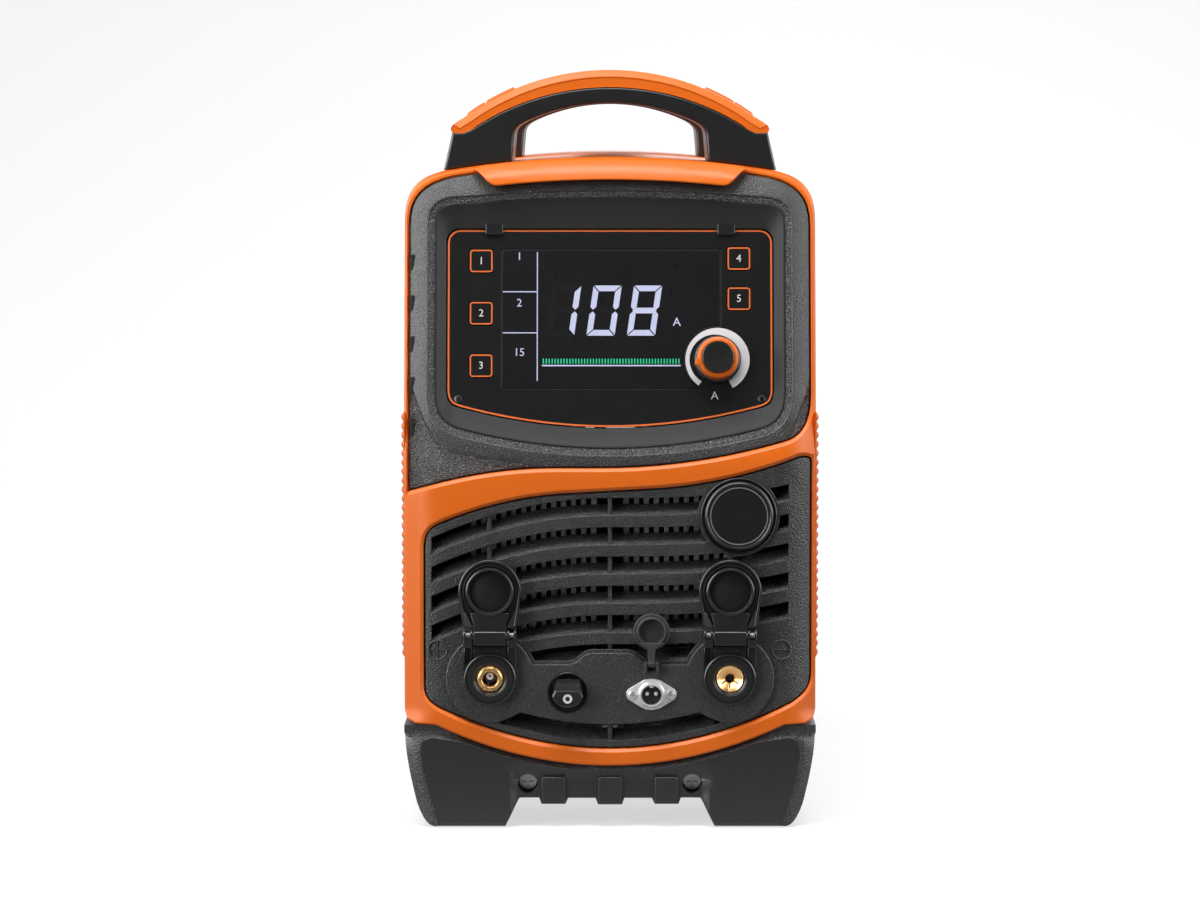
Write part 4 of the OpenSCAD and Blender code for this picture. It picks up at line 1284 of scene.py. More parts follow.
def slot_outline(row):
    """One row of slots; the lowest rows end behind the sockets' bosses."""
    left = -SLOT_END if row < 4 else -SHORT_END
    right = SLOT_END if row < 5 else SHORT_END
    crown = [(x, ROW_TOP - SLOT_PITCH * row + row_z(x)) for x in along(left, right, 32)]
    return crown + [(x, slot_low_z(row, x)) for x in along(right, left, 32)]


def hub_low_z(x):
    return 60.2 + 0.0026 * x * x


def crescent_low_z(x):
    return 50.9 + 0.00245 * x * x


def bottom_slot():
    """Crescent under the hub plate, which it cuts at both ends."""
    return ([(x, crescent_low_z(x)) for x in along(-64.5, 64.5, 20)] + [(50, 66.9)]
            + [(x, hub_low_z(x)) for x in along(48, -48, 16)] + [(-50, 66.9)])


def hub_outlines(grow=0.0):
    """Parts of the raised plate that carries the sockets."""
    bosses = [disc(x, SOCKET_Z - 0.5, 25.5 + grow, 96) for x in (-SOCKET_X, SOCKET_X)]
    low_edge = [(x, hub_low_z(x) - grow) for x in along(0, 52, 10)]
    shelf, crest = 95 + grow, 101.6 + grow
    crown = [(60, 70), (60, shelf)] + bezier((24, shelf), (18, shelf), (17, crest), (10, crest), 6)
    return bosses + [both(low_edge + crown)]


def build_lower_panel(sizes):
    """Black panel with curved rows of slots and sloping blades behind them."""
    face = front_face(sizes, PANEL_Y - FRONT_Y)
    slots = [slot_outline(i) for i in range(SLOT_ROWS)] + [bottom_slot()]
    badge = disc(BADGE.x, BADGE.z, 23.4, 72)
    holes = [disc(x, SOCKET_Z, 13.2, 48) for x in (-SOCKET_X, SOCKET_X)]
    holes += [disc(SWITCH.x, SWITCH.z, 13.0, 48), disc(CONNECTOR.x, CONNECTOR.z, 7.4, 48)]
    hub = hub_outlines(1.6)
    outlines = [lower_outline(PANEL_GAP)] + slots + hub + [badge] + holes
    slot_set = set(range(1, 1 + len(slots)))
    crescent = len(slots)
    solid_set = set(range(1 + len(slots), 2 + len(slots) + len(hub)))
    hole_set = set(range(2 + len(slots) + len(hub), len(outlines)))

    def material(covers):
        if 0 not in covers or crescent in covers or covers & hole_set:
            return False
        return not covers & slot_set or bool(covers & solid_set)

    shape = Shape()
    shape.plate(region(outlines, material), face, lambda x, z: face(x, z) + 4, edge=sizes.panel_round / MM,
                hole_edge=0.45, pitch=5.0)
    build_embossed_signs(shape, face)
    shape.make("lower_panel_louvres", "grained_black", replaces=["lower_panel"])
    build_blades(sizes)


def build_embossed_signs(shape, face):
    """Plus and minus in a circle beside the two sockets."""
    for x, plus in ((-98.6, True), (98.3, False)):
        z = 103.0
        y = face(x, z)
        shape.place = at(x, y, z)
        shape.lathe([(4.9, 0.2), (5.0, -0.5), (5.4, -0.7), (5.8, -0.5), (5.9, 0.2)], 48)
        shape.box(-4.8, 4.8, -0.7, 0.3, -0.4, 0.4, 0.2, 1)
        if plus:
            shape.box(-0.4, 0.4, -0.7, 0.3, -4.8, 4.8, 0.2, 1)
    shape.place = Matrix.Identity(4)


def build_blades(sizes):
    """Blades that slope up behind each slot, and the upright ribs across them."""
    rise, run = sizes.blade_rise / MM, sizes.blade_depth / MM
    shape = Shape()
    lows = [lambda x, row=row: slot_low_z(row, x) for row in range(SLOT_ROWS)]
    spans = [(-SLOT_END - 1.5, SLOT_END + 1.5)] * (SLOT_ROWS - 2) + [(-SHORT_END - 1.5, SLOT_END + 1.5)]
    spans.append((-SHORT_END - 1.5, SHORT_END + 1.5))
    lows.append(lambda x: crescent_low_z(x) - 0.4)
    spans.append((-60.0, 60.0))
    for low_z, (x0, x1) in zip(lows, spans):
        rings = []
        for x in along(x0, x1, 40):
            z, y = low_z(x), PANEL_Y
            rings.append([(x, y + 0.5, z - 0.2), (x, y + run, z + rise), (x, y + run, z + rise - 1.8),
                          (x, y + 3.6, z - 1.8), (x, y + 0.6, z - 2.2)])
        shape.strip(rings, caps=True)
    # The blades take the lighter copy of the panel black, painted light on their slopes.
    shape.make("louvre_blades", "blade_black")
    shape = Shape()
    for x, foot, crown in ((-69, 92, 186), (0, 44, 198), (69, 92, 198)):
        shape.box(x - 1.2, x + 1.2, PANEL_Y + 1.6, PANEL_Y + 10, foot, crown, 0.35)
    shape.make("louvre_ribs", "grained_black")


def build_hub():
    """Raised plate that carries the sockets, the switch and the connector."""
    parts = hub_outlines()
    holes = [disc(x, SOCKET_Z, 12.95, 64) for x in (-SOCKET_X, SOCKET_X)]
    holes += [disc(SWITCH.x, SWITCH.z, 11.8, 64), disc(CONNECTOR.x, CONNECTOR.z, 7.0, 48), bottom_slot()]
    solid_set = set(range(len(parts)))
    hole_set = set(range(len(parts), len(parts) + len(holes)))
    loops = region(parts + holes, lambda covers: bool(covers & solid_set) and not covers & hole_set)
    shape = Shape()
    shape.plate(loops, level(HUB_Y), level(PANEL_Y + 0.4), edge=0.9, hole_edge=0.5, pitch=8.0)
    shape.make("hub_plate_moulding", "grained_black", replaces=["hub_plate"])


def build_badge():
    """Round badge housing, its disc bare inside a thin ring."""
    shape = Shape(at(BADGE.x, PANEL_Y, BADGE.z))
    shape.lathe([(0.0, 0.4), (21.9, 0.4), (21.9, -1.2), (21.7, -2.2), (21.3, -2.6), (20.9, -2.4),
                 (20.7, -1.0), (20.1, -0.9), (19.9, -1.4), (19.8, -3.6), (19.4, -4.4), (18.8, -4.9),
                 (18.2, -5.0), (17.8, -4.8), (17.5, -4.3), (17.3, -4.2)], 96)
    # The recessed disc takes the far darker black, painted shade in the recess.
    shape.paint = 1
    shape.lathe([(17.3, -4.2), (0.0, -4.4)], 96)
    shape.make("badge_housing", "nylon_black", replaces=["badge_disc"], extra=["deep_black"])
    shape = Shape(at(BADGE.x, PANEL_Y, BADGE.z))
    shape.lathe([(15.9, -4.2), (15.95, -4.5), (16.5, -4.5), (16.55, -4.2)], 96, closed=True)
    shape.make("badge_ring", "badge_print")


# ---------- power sockets ----------

def across(x, y, z):
    """Frame whose Y axis runs along X, for pieces turned about a hinge."""
    return at(x, y, z) @ Matrix.Rotation(-math.pi / 2, 4, "Z")


def build_collar(x, node):
    """Round collar with its index dots, hinge ears and knuckles."""
    shape = Shape(at(x, COLLAR_Y, SOCKET_Z))
    shape.lathe([(8.15, 3.2), (8.15, 1.6), (8.5, 1.2), (9.0, 1.0), (9.3, 0.5), (9.6, 0.25), (12.9, 0.15),
                 (13.1, 0.6), (13.5, 0.6), (13.7, 0.1), (14.3, 0.0), (14.8, 0.3), (15.1, 0.9), (15.1, 6.2),
                 (12.9, 6.2), (12.9, 21.0), (8.15, 21.0)], 96, closed=True)
    for i in range(6):
        a = math.radians(30 + 60 * i)
        shape.place = at(x + 10.9 * math.cos(a), COLLAR_Y, SOCKET_Z + 10.9 * math.sin(a))
        shape.lathe([(0.0, -0.1), (0.35, -0.05), (0.5, 0.2)], 12)
    shape.place = at(x, 0, 0)
    cheeks = [(-15.1, SOCKET_Z - 2), (15.1, SOCKET_Z - 2), (15.1, 105.5), (14.2, 107.2), (-14.2, 107.2),
              (-15.1, 105.5)]
    shape.plate(without(turned(cheeks), disc(0, SOCKET_Z, 12.5, 48)), level(HUB_Y - 2.2), level(HUB_Y + 0.3),
                edge=0.5, pitch=None)
    for side in (-1, 1):
        near, far, foot, crown = side * 9.9, side * 15.0, SOCKET_Z - 1, 107.0
        arm = turned([(near, foot), (far, foot), (far, crown), (near, crown)])
        for loop in without(arm, disc(0, SOCKET_Z, 15.3, 64)):
            shape.plate([loop], level(HUB_Y - 5.2), level(HUB_Y - 1.5), edge=0.7, pitch=None)
    tab = [(-9.2, 99.2), (9.2, 99.2), (9.2, 105.9), (-9.2, 105.9)]
    shape.plate([tab], level(HUB_Y - 4.6), level(HUB_Y - 2), edge=0.5, pitch=None)
    for dx in (-5.2, 5.2):
        shape.place = at(x + dx, HUB_Y - 4.6, 103.4)
        shape.lathe([(0.0, -0.55), (0.7, -0.45), (1.15, 0.0), (1.2, 0.3)], 20)
    shape.place = at(x, 0, 0)
    shape.box(-0.35, 0.35, HUB_Y - 4.9, HUB_Y - 4.4, 102.6, 104.6, 0.1, 1)
    for side in (-1, 1):
        inner, outer = sorted((side * 9.8, side * 15.1))
        shape.box(inner, outer, HINGE_Y - 2.9, HUB_Y, 105.3, 110.0, 0.7)
        for dx in (10.5, 14.4):
            shape.place = across(x + side * dx, HINGE_Y, HINGE_Z)
            shape.lathe([(1.55, -0.7), (3.0, -0.7), (3.4, -0.35), (3.4, 0.35), (3.0, 0.7), (1.55, 0.7)], 40,
                        closed=True)
            shape.place = at(x, 0, 0)
    shape.make(node + "_moulding", "nylon_black", replaces=[node])


def build_cap(x, node):
    """Teardrop flip cap, shown open: bead, channel, seal ring and the hinge block."""
    shape = Shape(at(x, 0, 0))
    drop = [(17.9 * math.cos(a), LID_Z - 0.6 + 18.2 * math.sin(a)) for a in along(-0.12, math.pi + 0.12, 40)]
    drop += [(-15.6, 119.0), (-15.2, 117.4), (-14.2, 116.4), (14.2, 116.4), (15.2, 117.4), (15.6, 119.0)]
    drop = turned(drop)
    shape.plate([drop, inset(drop, 1.9)[::-1]], level(HINGE_Y + 0.2), level(HINGE_Y + 4.6), edge=0.85,
                pitch=None)
    shape.plate([inset(drop, 0.6)], level(HINGE_Y + 2.2), level(HINGE_Y + 4.9), edge=0.3, pitch=6.0)
    shape.place = at(x, HINGE_Y, LID_Z - 0.6)
    shape.lathe([(14.4, 2.4), (14.5, 0.6), (14.9, 0.1), (15.4, 0.2), (15.6, 0.7), (15.7, 2.4)], 96)
    shape.lathe([(13.9, 2.6), (13.9, -1.6), (13.6, -2.3), (13.0, -2.6), (12.3, -2.5), (11.9, -2.1),
                 (11.6, -1.2), (11.5, 1.9)], 96)
    # The cap's inner disc takes the far darker black, painted shade inside the hollow.
    shape.paint = 1
    shape.lathe([(11.5, 1.9), (8.0, 1.5), (4.0, 1.1), (0.0, 1.0)], 96)
    shape.paint = 0
    shape.place = at(x, 0, 0)
    for side in (-1, 1):
        wedge = turned([(side * 9.3, 116.8), (side * 14.6, 116.8), (side * 15.9, 124.0),
                        (side * 14.2, 126.0)])
        shape.plate([wedge], lambda px, pz: HINGE_Y - 2.0 + (126 - pz) * 0.05 + (abs(px) - 9.3) * 0.45,
                    level(HINGE_Y + 3), edge=0.35, pitch=None)
    neck = turned([(-9.3, 113.0), (9.3, 113.0), (9.3, 119.0), (11.0, 125.4), (-11.0, 125.4), (-9.3, 119.0)])
    shape.plate([neck], lambda px, pz: HINGE_Y - 2.6 + max(0.0, pz - 118) * 0.1, level(HINGE_Y + 3),
                edge=0.4, pitch=None)
    shape.place = across(x, HINGE_Y, HINGE_Z)
    shape.lathe([(1.6, -9.3), (3.0, -9.3), (3.4, -8.9), (3.4, 8.9), (3.0, 9.3), (1.6, 9.3)], 48, closed=True)
    shape.place = at(x, 0, 0)
    shape.box(-9.3, 9.3, HINGE_Y - 3.4, HINGE_Y - 0.2, 106.8, 114.5, 0.8)
    shape.make(node + "_moulding", "nylon_black", body=node, replaces=[node], extra=["deep_black"])


def build_hinge_pin(x, node):
    """Bare rod through a cap's hinge."""
    shape = Shape(across(x, HINGE_Y, HINGE_Z))
    shape.lathe([(0.0, -14.6), (1.2, -14.6), (1.5, -14.3), (1.5, 14.3), (1.2, 14.6), (0.0, 14.6)], 32)
    shape.make(node + "_rod", "extruded_aluminium", replaces=[node])


def build_torch_socket(x):
    """Brass nut round the torch lead's bore and its pin."""
    shape = Shape(at(x, COLLAR_Y, SOCKET_Z))
    shape.lathe([(4.3, 14.0), (4.3, 1.2), (4.6, 0.8), (5.0, 0.7), (6.3, 0.7), (6.8, 1.0), (8.0, 2.2),
                 (8.05, 3.2), (8.05, 20.0), (4.3, 20.0)], 72, closed=True)
    nut = [(7.35 * math.cos(math.tau * i / 6), 7.35 * math.sin(math.tau * i / 6)) for i in range(6)]
    shape.plate([nut, disc(0, 0, 4.75, 48)[::-1]], level(0.45), level(2.6), edge=0.35, pitch=None)
    shape.make("torch_socket_brass", "turned_brass", replaces=["torch_socket"])
    shape = Shape(at(x, COLLAR_Y, SOCKET_Z + 1.5))
    shape.lathe([(0.5, 3.6), (0.6, 2.8), (1.7, 2.6), (2.1, 2.9), (2.2, 3.4), (2.2, 16.0), (0.5, 16.0)], 40,
                closed=True)
    shape.make("torch_pin_sleeve", "white_ceramic", replaces=["torch_pin"])


def build_work_socket(x):
    """Brass face of the work lead's socket with its three cuts."""
    shape = Shape()
    bore = 2.6
    shape.place = at(x, COLLAR_Y, SOCKET_Z)
    cuts = []
    for degrees in (210, 270, 330):
        a = math.radians(degrees)
        run = Vector((math.cos(a), math.sin(a)))
        side = Vector((-math.sin(a), math.cos(a))) * 0.32
        cuts.append([tuple(corner) for corner in (run * 1.0 + side, run * 1.0 - side, run * 5.6 - side,
                                                  run * 5.6 + side)])
    loops = region([disc(0, 0, 7.6, 72), disc(0, 0, bore, 40), *cuts], lambda covers: covers == {0})

    def dished(px, pz):
        r = math.hypot(px, pz)
        return 1.0 + 3.2 * (min(1.0, max(0.0, (7.2 - r) / 4.6))) ** 1.15

    shape.plate(loops, dished, level(7.0), edge=0.3, hole_edge=0.15, pitch=1.2)
    shape.lathe([(bore, 6.9), (bore, 17.0), (8.05, 17.0), (8.05, 2.2), (7.62, 1.9), (7.62, 6.9)], 72,
                closed=True)
    shape.make("work_socket_brass", "turned_brass", replaces=["work_socket"])


def build_connector():
    """Two-pin control connector with its flange, screws, strap and rubber cap."""
    x, z = CONNECTOR.x, CONNECTOR.z
    shape = Shape(at(x, HUB_Y, z))
    flange = turned(both(bezier((0, -9.0), (3.4, -9.0), (5.0, -7.9), (6.2, -7.2), 5)
                         + bezier((12.6, -3.3), (15.0, -1.9), (15.0, 1.9), (12.6, 3.3), 8)
                         + bezier((6.2, 7.2), (5.0, 7.9), (3.4, 9.0), (0, 9.0), 5)))
    shape.plate([flange, disc(0, 0, 6.4, 48)[::-1]], level(-1.6), level(0.0), edge=0.35, pitch=None)
    shape.lathe([(5.6, -2.0), (5.7, -7.4), (6.0, -7.9), (6.4, -7.9), (6.65, -7.5), (6.7, -3.0), (7.3, -2.2),
                 (7.7, -1.5), (6.4, -1.0), (6.4, 13.0), (5.6, 13.0)], 72, closed=True)
    shape.box(-1.1, 1.1, -7.6, -1.5, 4.6, 6.0, 0.3)
    shape.make("connector_shell", "bright_nickel", replaces=["connector_body"])
    shape = Shape(at(x, HUB_Y, z))
    shape.lathe([(0.0, -3.4), (4.9, -3.4), (5.3, -3.1), (5.5, -2.4), (5.5, 2.0), (0.0, 2.0)], 48)
    shape.make("connector_insert", "nylon_black")
    shape = Shape()
    for dx in (-2.5, 2.5):
        shape.place = at(x + dx, HUB_Y, z + 0.9)
        shape.lathe([(0.0, -7.2), (0.7, -7.0), (1.05, -6.2), (1.05, 2.0), (0.0, 2.0)], 24)
    shape.make("connector_contact_pins", "bright_nickel", replaces=["connector_pins"])
    shape = Shape()
    for dx in (-10.7, 10.7):
        shape.place = at(x + dx, HUB_Y - 1.6, z)
        build_cross_head(shape, 2.6, 1.3, 0.8)
        shape.lathe([(1.4, 0.0), (1.4, 7.0), (0.0, 7.0)], 24)
    shape.make("connector_screw_heads", "plated_zinc", replaces=["connector_screws"])
    build_connector_cap(x)


FOLD_Z = 95.9
FOLD_Y = HUB_Y - 5


def build_connector_cap(x):
    """Rubber cap on its strap, and the clip that holds the strap."""
    shape = Shape(at(x, FOLD_Y, 2 * FOLD_Z - CONNECTOR.z))
    shape.lathe([(0.0, 3.3), (6.6, 3.3), (6.9, 2.9), (7.0, 2.2), (7.1, -0.9), (7.4, -1.4), (7.9, -1.5),
                 (8.3, -1.1), (8.4, 0.3), (8.8, 0.6), (9.6, 0.4), (10.3, 0.7), (10.55, 1.4), (10.5, 4.2),
                 (10.0, 5.0), (0.0, 5.1)], 72)
    shape.place = at(x, 0, 0)
    strap = turned(both([(0, FOLD_Z - 1.6), (1.9, FOLD_Z - 1.6), (2.1, FOLD_Z + 5)]
                        + bezier((2.2, FOLD_Z + 7.0), (2.4, FOLD_Z + 9.0), (4.2, FOLD_Z + 9.4),
                                 (7.4, FOLD_Z + 12), 6)
                        + [(0, FOLD_Z + 12)]))
    shape.plate([strap], level(FOLD_Y - 1.4), level(FOLD_Y + 1.2), edge=0.5, pitch=None)
    shape.place = across(x, FOLD_Y, FOLD_Z)
    shape.lathe([(0.0, -1.6), (1.6, -1.6), (1.9, -1.3), (1.9, 1.3), (1.6, 1.6), (0.0, 1.6)], 32)
    shape.make("connector_cap_rubber", "matt_rubber", body="connector_cap", replaces=["connector_cap"])
    shape = Shape(at(x, 0, 0))
    for side in (-1, 1):
        inner, outer = sorted((side * 2.5, side * 4.3))
        shape.box(inner, outer, FOLD_Y - 0.8, HUB_Y + 0.1, FOLD_Z - 5.2, FOLD_Z + 1.2, 0.5)
    shape.box(-4.2, 4.2, HUB_Y - 2.4, HUB_Y + 0.1, FOLD_Z - 8.4, FOLD_Z - 4.2, 0.5)
    shape.place = across(x, FOLD_Y, FOLD_Z)
    shape.lathe([(0.0, -3.4), (0.8, -3.4), (0.8, 3.4), (0.0, 3.4)], 20)
    shape.make("cap_strap_clip", "matt_rubber", replaces=["cap_strap"])


def build_switch():
    """Mains switch: recessed ring, turning disc and the wedge-shaped bar."""
    x, z = SWITCH.x, SWITCH.z
    shape = Shape(at(x, HUB_Y, z))
    shape.lathe([(11.9, 6.0), (11.9, 0.2), (11.5, -0.2), (11.0, -0.1), (10.8, 0.4), (10.6, 3.4), (8.4, 4.2),
                 (8.4, 6.0)], 72, closed=True)
    shape.make("switch_bezel", "nylon_black")
    shape = Shape()
    shape.box(x - 16, x + 16, PANEL_Y + 6, PANEL_Y + 40, z - 12, z + 12, 1.0)
    shape.make("switch_block", "nylon_black", replaces=["switch_body"])
    bar_low, bar_high = -6.2, 3.5
    shape = Shape(at(x, HUB_Y, z))
    shape.lathe([(0.0, 0.2), (7.2, 0.2), (7.8, 0.6), (8.2, 1.4), (8.3, 5.6), (3.0, 5.6), (3.0, 19.0),
                 (0.0, 19.0)], 64)
    bend, shoulder, belly = bar_low + 3, bar_low + 6.4, bar_low - 0.4
    grip = turned([(-7.0, bar_high), (7.0, bar_high)]
                  + bezier((8.7, shoulder), (8.5, bend), (5.4, bar_low), (0, belly), 8)
                  + bezier((-0.4, belly), (-5.4, bar_low), (-8.5, bend), (-8.7, shoulder), 8))
    front = -16.0
    tip = [(px, front + 0.5, pz) for px, pz in inset(grip, 0.5)]
    rings = [[(px, front, pz) for px, pz in inset(grip, 0.9)], tip,
             [(px, front + 1.1, pz) for px, pz in grip],
             [(px * 0.97, -7.0, pz + (2.6 if pz > 0 else 0.6)) for px, pz in grip],
             [(px * 0.92, 0.4, pz * 0.9 + (4.6 if pz > 0 else 1.4)) for px, pz in grip]]
    shape.strip(rings, caps=True)
    shape.make("switch_knob_bar", "nylon_black", body="switch_knob", replaces=["switch_knob"])
    shape = Shape(at(x, HUB_Y + front, z + (bar_low + bar_high) / 2 - 0.1))
    shape.lathe([(1.3, 0.02), (1.3, -0.05), (2.65, -0.05), (2.65, 0.02)], 40, closed=True)
    shape.make("switch_mark", "silver_print", body="switch_knob")


# ---------- bases ----------

BASE_TOP = 59.3
BASE_DEPTH = 80.0
SCREW_X = 47.2
SCREW_Z = 25.2
SCREW_DEEP = 18.0


def base_outline():
    half = [(0, 13.2), (6.9, 13.2), (8.3, 17), (24, 17), (25.6, 13.5), (39.3, 13.5), (40.7, 17.2),
            (52.1, 17.2), (60, 0.9), (101, 0.9)]
    half += bezier((101, 0.9), (105, 1.2), (108, 6), (110.8, 13.8), 5)[1:]
    half += bezier((110.8, 13.8), (114.2, 27), (117.2, 42), (HALF_W, 55), 8)[1:]
    half += [(HALF_W, BASE_TOP), (114, BASE_TOP), (107, BASE_TOP + 0.2)]
    half += [(x, shell_low_z(x) - 0.4) for x in along(100, 0, 14)]
    return turned(both(half))


def base_face_outline(flank):
    """Flat part of the base's face, inside its rounded flanks and grained bevel."""
    side = HALF_W - flank
    half = [(0, 13.8), (6.5, 13.8), (7.9, 17.6), (24.4, 17.6), (26.0, 14.1), (38.9, 14.1), (40.3, 17.8),
            (51.6, 17.8), (59.6, 3.0), (side - 9, 3.0)]
    half += bezier((side - 8, 3.4), (side - 5.4, 14), (side + 0.2, 30), (side + 1.2, 43), 8)
    half += bezier((side + 1.2, 46), (side + 0.8, 51.5), (side - 3.6, 52.6), (98, shell_low_z(98) - 7.2), 6)
    half += [(x, shell_low_z(x) - 3.4) for x in along(84, 0, 12)]
    return turned(both(half))


def build_base(name, node, face_y, facing, sizes):
    """Foot moulding with its flanks, recessed middle, blocks and screw holes."""
    flank = sizes.foot_flank / MM
    outer = spaced(base_outline(), 4.0)
    flat = spaced(base_face_outline(flank), 4.0)
    to_flat = distance_to(flat)
    screws = [disc(sx, SCREW_Z, 5.7, 32) for sx in (-SCREW_X, SCREW_X)]

    def hollow(x, z):
        """Depth of the recess between the feet."""
        return 2.2 * ease((57 - abs(x)) / 3) * ease((34.5 - z) / 2.5)

    def skirt(x, z):
        away = min(to_flat(x, z), flank - 0.2)
        if abs(x) > HALF_W - flank - 8 and z < 54:
            return 0.6 + flank - math.sqrt(flank * flank - away * away)
        return min(2.2, away * 0.9)

    def faced(x, z):
        return skirt(x, z) + hollow(x, z)

    shape = Shape(at(0, face_y, 0) @ Matrix.Diagonal((facing, facing, 1, 1)))
    shape.paint = 1
    shape.surface([outer, flat[::-1]], faced, 2.5)
    shape.strip([[(x, faced(x, z), z) for x, z in outer], [(x, BASE_DEPTH, z) for x, z in outer]])
    shape.paint = 0
    shape.surface([flat] + [screw[::-1] for screw in screws], hollow, 3.0)
    for screw in screws:
        shape.strip([[(x, hollow(x, z), z) for x, z in screw], [(x, SCREW_DEEP, z) for x, z in screw]])
        shape.surface([screw], level(SCREW_DEEP), None)
    shape.surface([outer], level(BASE_DEPTH), None)
    for centre, half in ((-32.4, 6.8), (0, 6.9), (32.4, 6.8)):
        x0, x1 = centre - half, centre + half
        block = [(x0, 14.0), (x1, 14.0), (x1, 28.6), (x1 - 0.8, 29.4), (x0 + 0.8, 29.4), (x0, 28.6)]
        shape.plate([block], level(-0.2), level(4.0), edge=0.8, pitch=None)
    shape.make(name, "smooth_black", replaces=[node], extra=["grained_black"])


def build_bases(sizes):
    """Front and rear feet, which are the same moulding turned round."""
    build_base("front_base_moulding", "front_base", FRONT_Y + 2, 1, sizes)
    build_base("rear_base_moulding", "rear_base", REAR_Y - 2, -1, sizes)


# ---------- handle ----------

OUT_R = 142.0
IN_R = 115.0
CAP_R = 144.0
BLACK_TOP = 424.0
UNDER_Z = 415.0
HANDLE_TOP = high("handle_grip").z


def arc_z(x, top, radius):
    return top - radius + math.sqrt(radius * radius - x * x)


def arch_black():
    half = [(x, arc_z(x, UNDER_Z, IN_R)) for x in along(0, 44, 12)]
    half += bezier((48, arc_z(48, UNDER_Z, IN_R)), (52, 402.3), (55, 401), (55.3, 396), 6)
    half += [(x, top_z(x) + 0.2) for x in (56.5, 76, 92)] + [(95.8, 376.3), (90.9, 398), (84, 398)]
    half += [(x, arc_z(x, BLACK_TOP, CAP_R)) for x in along(79, 0, 14)]
    return turned(both(half))


def arch_orange():
    half = [(x, arc_z(x, BLACK_TOP, CAP_R) + 0.02) for x in along(0, 77, 14)]
    half += bezier((80, 398.9), (84, 397.2), (88, 396.4), (91.0, 398.2), 5)
    half += bezier((91.6, 399.2), (92.0, 400.6), (90.8, 402.2), (89, 403.6), 4)
    half += [(x, arc_z(x, HANDLE_TOP, OUT_R)) for x in along(83, 0, 16)]
    return turned(both(half))


ARCH_DEPTH = 85.0
SHOULDER_PADS = ((56, 71), (73, 82))


def build_shoulder_pads(shape, front, back):
    """Raised pads on both shoulders of an arch."""
    for side in (-1, 1):
        for x0, x1 in SHOULDER_PADS:
            crest = [(side * x, arc_z(x, HANDLE_TOP + 1.5, OUT_R)) for x in along(x0, x1, 6)]
            root = [(side * x, arc_z(x, HANDLE_TOP - 1, OUT_R)) for x in along(x1 + 2, x0 - 2, 6)]
            shape.plate([turned(crest + root)], level(front), level(back), edge=0.8, pitch=None)


def grip_rings(outline, rounding, y, facing):
    """Rings round one end of a grip; only the crown is drawn in, and its crease stands a little proud."""
    rings = []
    for d, e in rounding:
        moved = inset(outline, d)
        drawn = [moved[i] if z > arc_z(min(abs(x), 80), BLACK_TOP, CAP_R) + 3.5 else (x, z)
                 for i, (x, z) in enumerate(outline)]
        rings.append([(x, y + facing * (0.5 + e), z) for x, z in drawn])
    return rings


def build_handle(sizes):
    """Front and rear arches in black, and the orange grip over them."""
    front_y, back_y = low("handle_frame").y, high("handle_frame").y
    depth = ARCH_DEPTH
    chamfer = sizes.arch_chamfer / MM
    rounding = [(chamfer + 0.7, 0.0), (chamfer + 0.45, -0.3), (chamfer, -0.35), (chamfer - 0.3, 0.05),
                (0.5, chamfer * 0.6), (0.12, chamfer * 0.78), (0.0, chamfer * 1.1)]
    shape = Shape()
    for y in (front_y, back_y - depth):
        shape.plate([arch_black()], level(y), level(y + depth), edge=1.6, pitch=8.0)
    shape.box(-19, 19, front_y + depth - 1, back_y - depth + 1, 417, BLACK_TOP, 2.5, 3)
    shape.make("handle_frame_arches", "satin_black", replaces=["handle_frame"])
    shape = Shape()
    for y in (front_y, back_y - depth):
        outline = spaced(arch_orange(), 4.0)
        near = grip_rings(outline, rounding, y, 1)
        far = grip_rings(outline, rounding, y + depth, -1)
        shape.strip(near + far[::-1])
        for ring in (near[0], far[0]):
            shape.surface([[(x, z) for x, _, z in ring]], level(ring[0][1]), 8.0)
        build_shoulder_pads(shape, y + 12, y + depth - 12)
    shape.box(-21, 21, front_y + depth - 1.2, back_y - depth + 1.2, BLACK_TOP + 0.1, 431.5, 3.0, 3)
    shape.make("handle_grip_cover", "orange_shell", replaces=["handle_grip"])


# ---------- covers and rear ----------

def build_top_cover():
    """Crown of the case between the two shells."""
    line = [(x, z) for x, z in both(shoulder_line()[1:]) if z > SHOULDER_Z - 1]
    line = tidy([(HALF_W, SHOULDER_Z)] + [p for p in line if p[1] > SHOULDER_Z] + [(-HALF_W, SHOULDER_Z)])
    wall = 3.0
    inner = [(x * (HALF_W - wall) / HALF_W, z - (wall if z > 352 else 0)) for x, z in line[::-1]]
    closed = turned(line + inner)
    shape = Shape()
    shape.strip([[(x, y, z) for x, z in inset(closed, d)] for y, d in
                 ((COVER_FRONT, 0.5), (COVER_FRONT + 0.5, 0.0), (COVER_BACK - 0.5, 0.0), (COVER_BACK, 0.5))])
    shape.surface([inset(closed, 0.5)], level(COVER_FRONT), None)
    shape.surface([inset(closed, 0.5)], level(COVER_BACK), None)
    shape.make("top_cover_shell", "orange_shell", replaces=["top_cover"])


REAR_FLANK = 14.0
REAR_RADIUS = 20.0


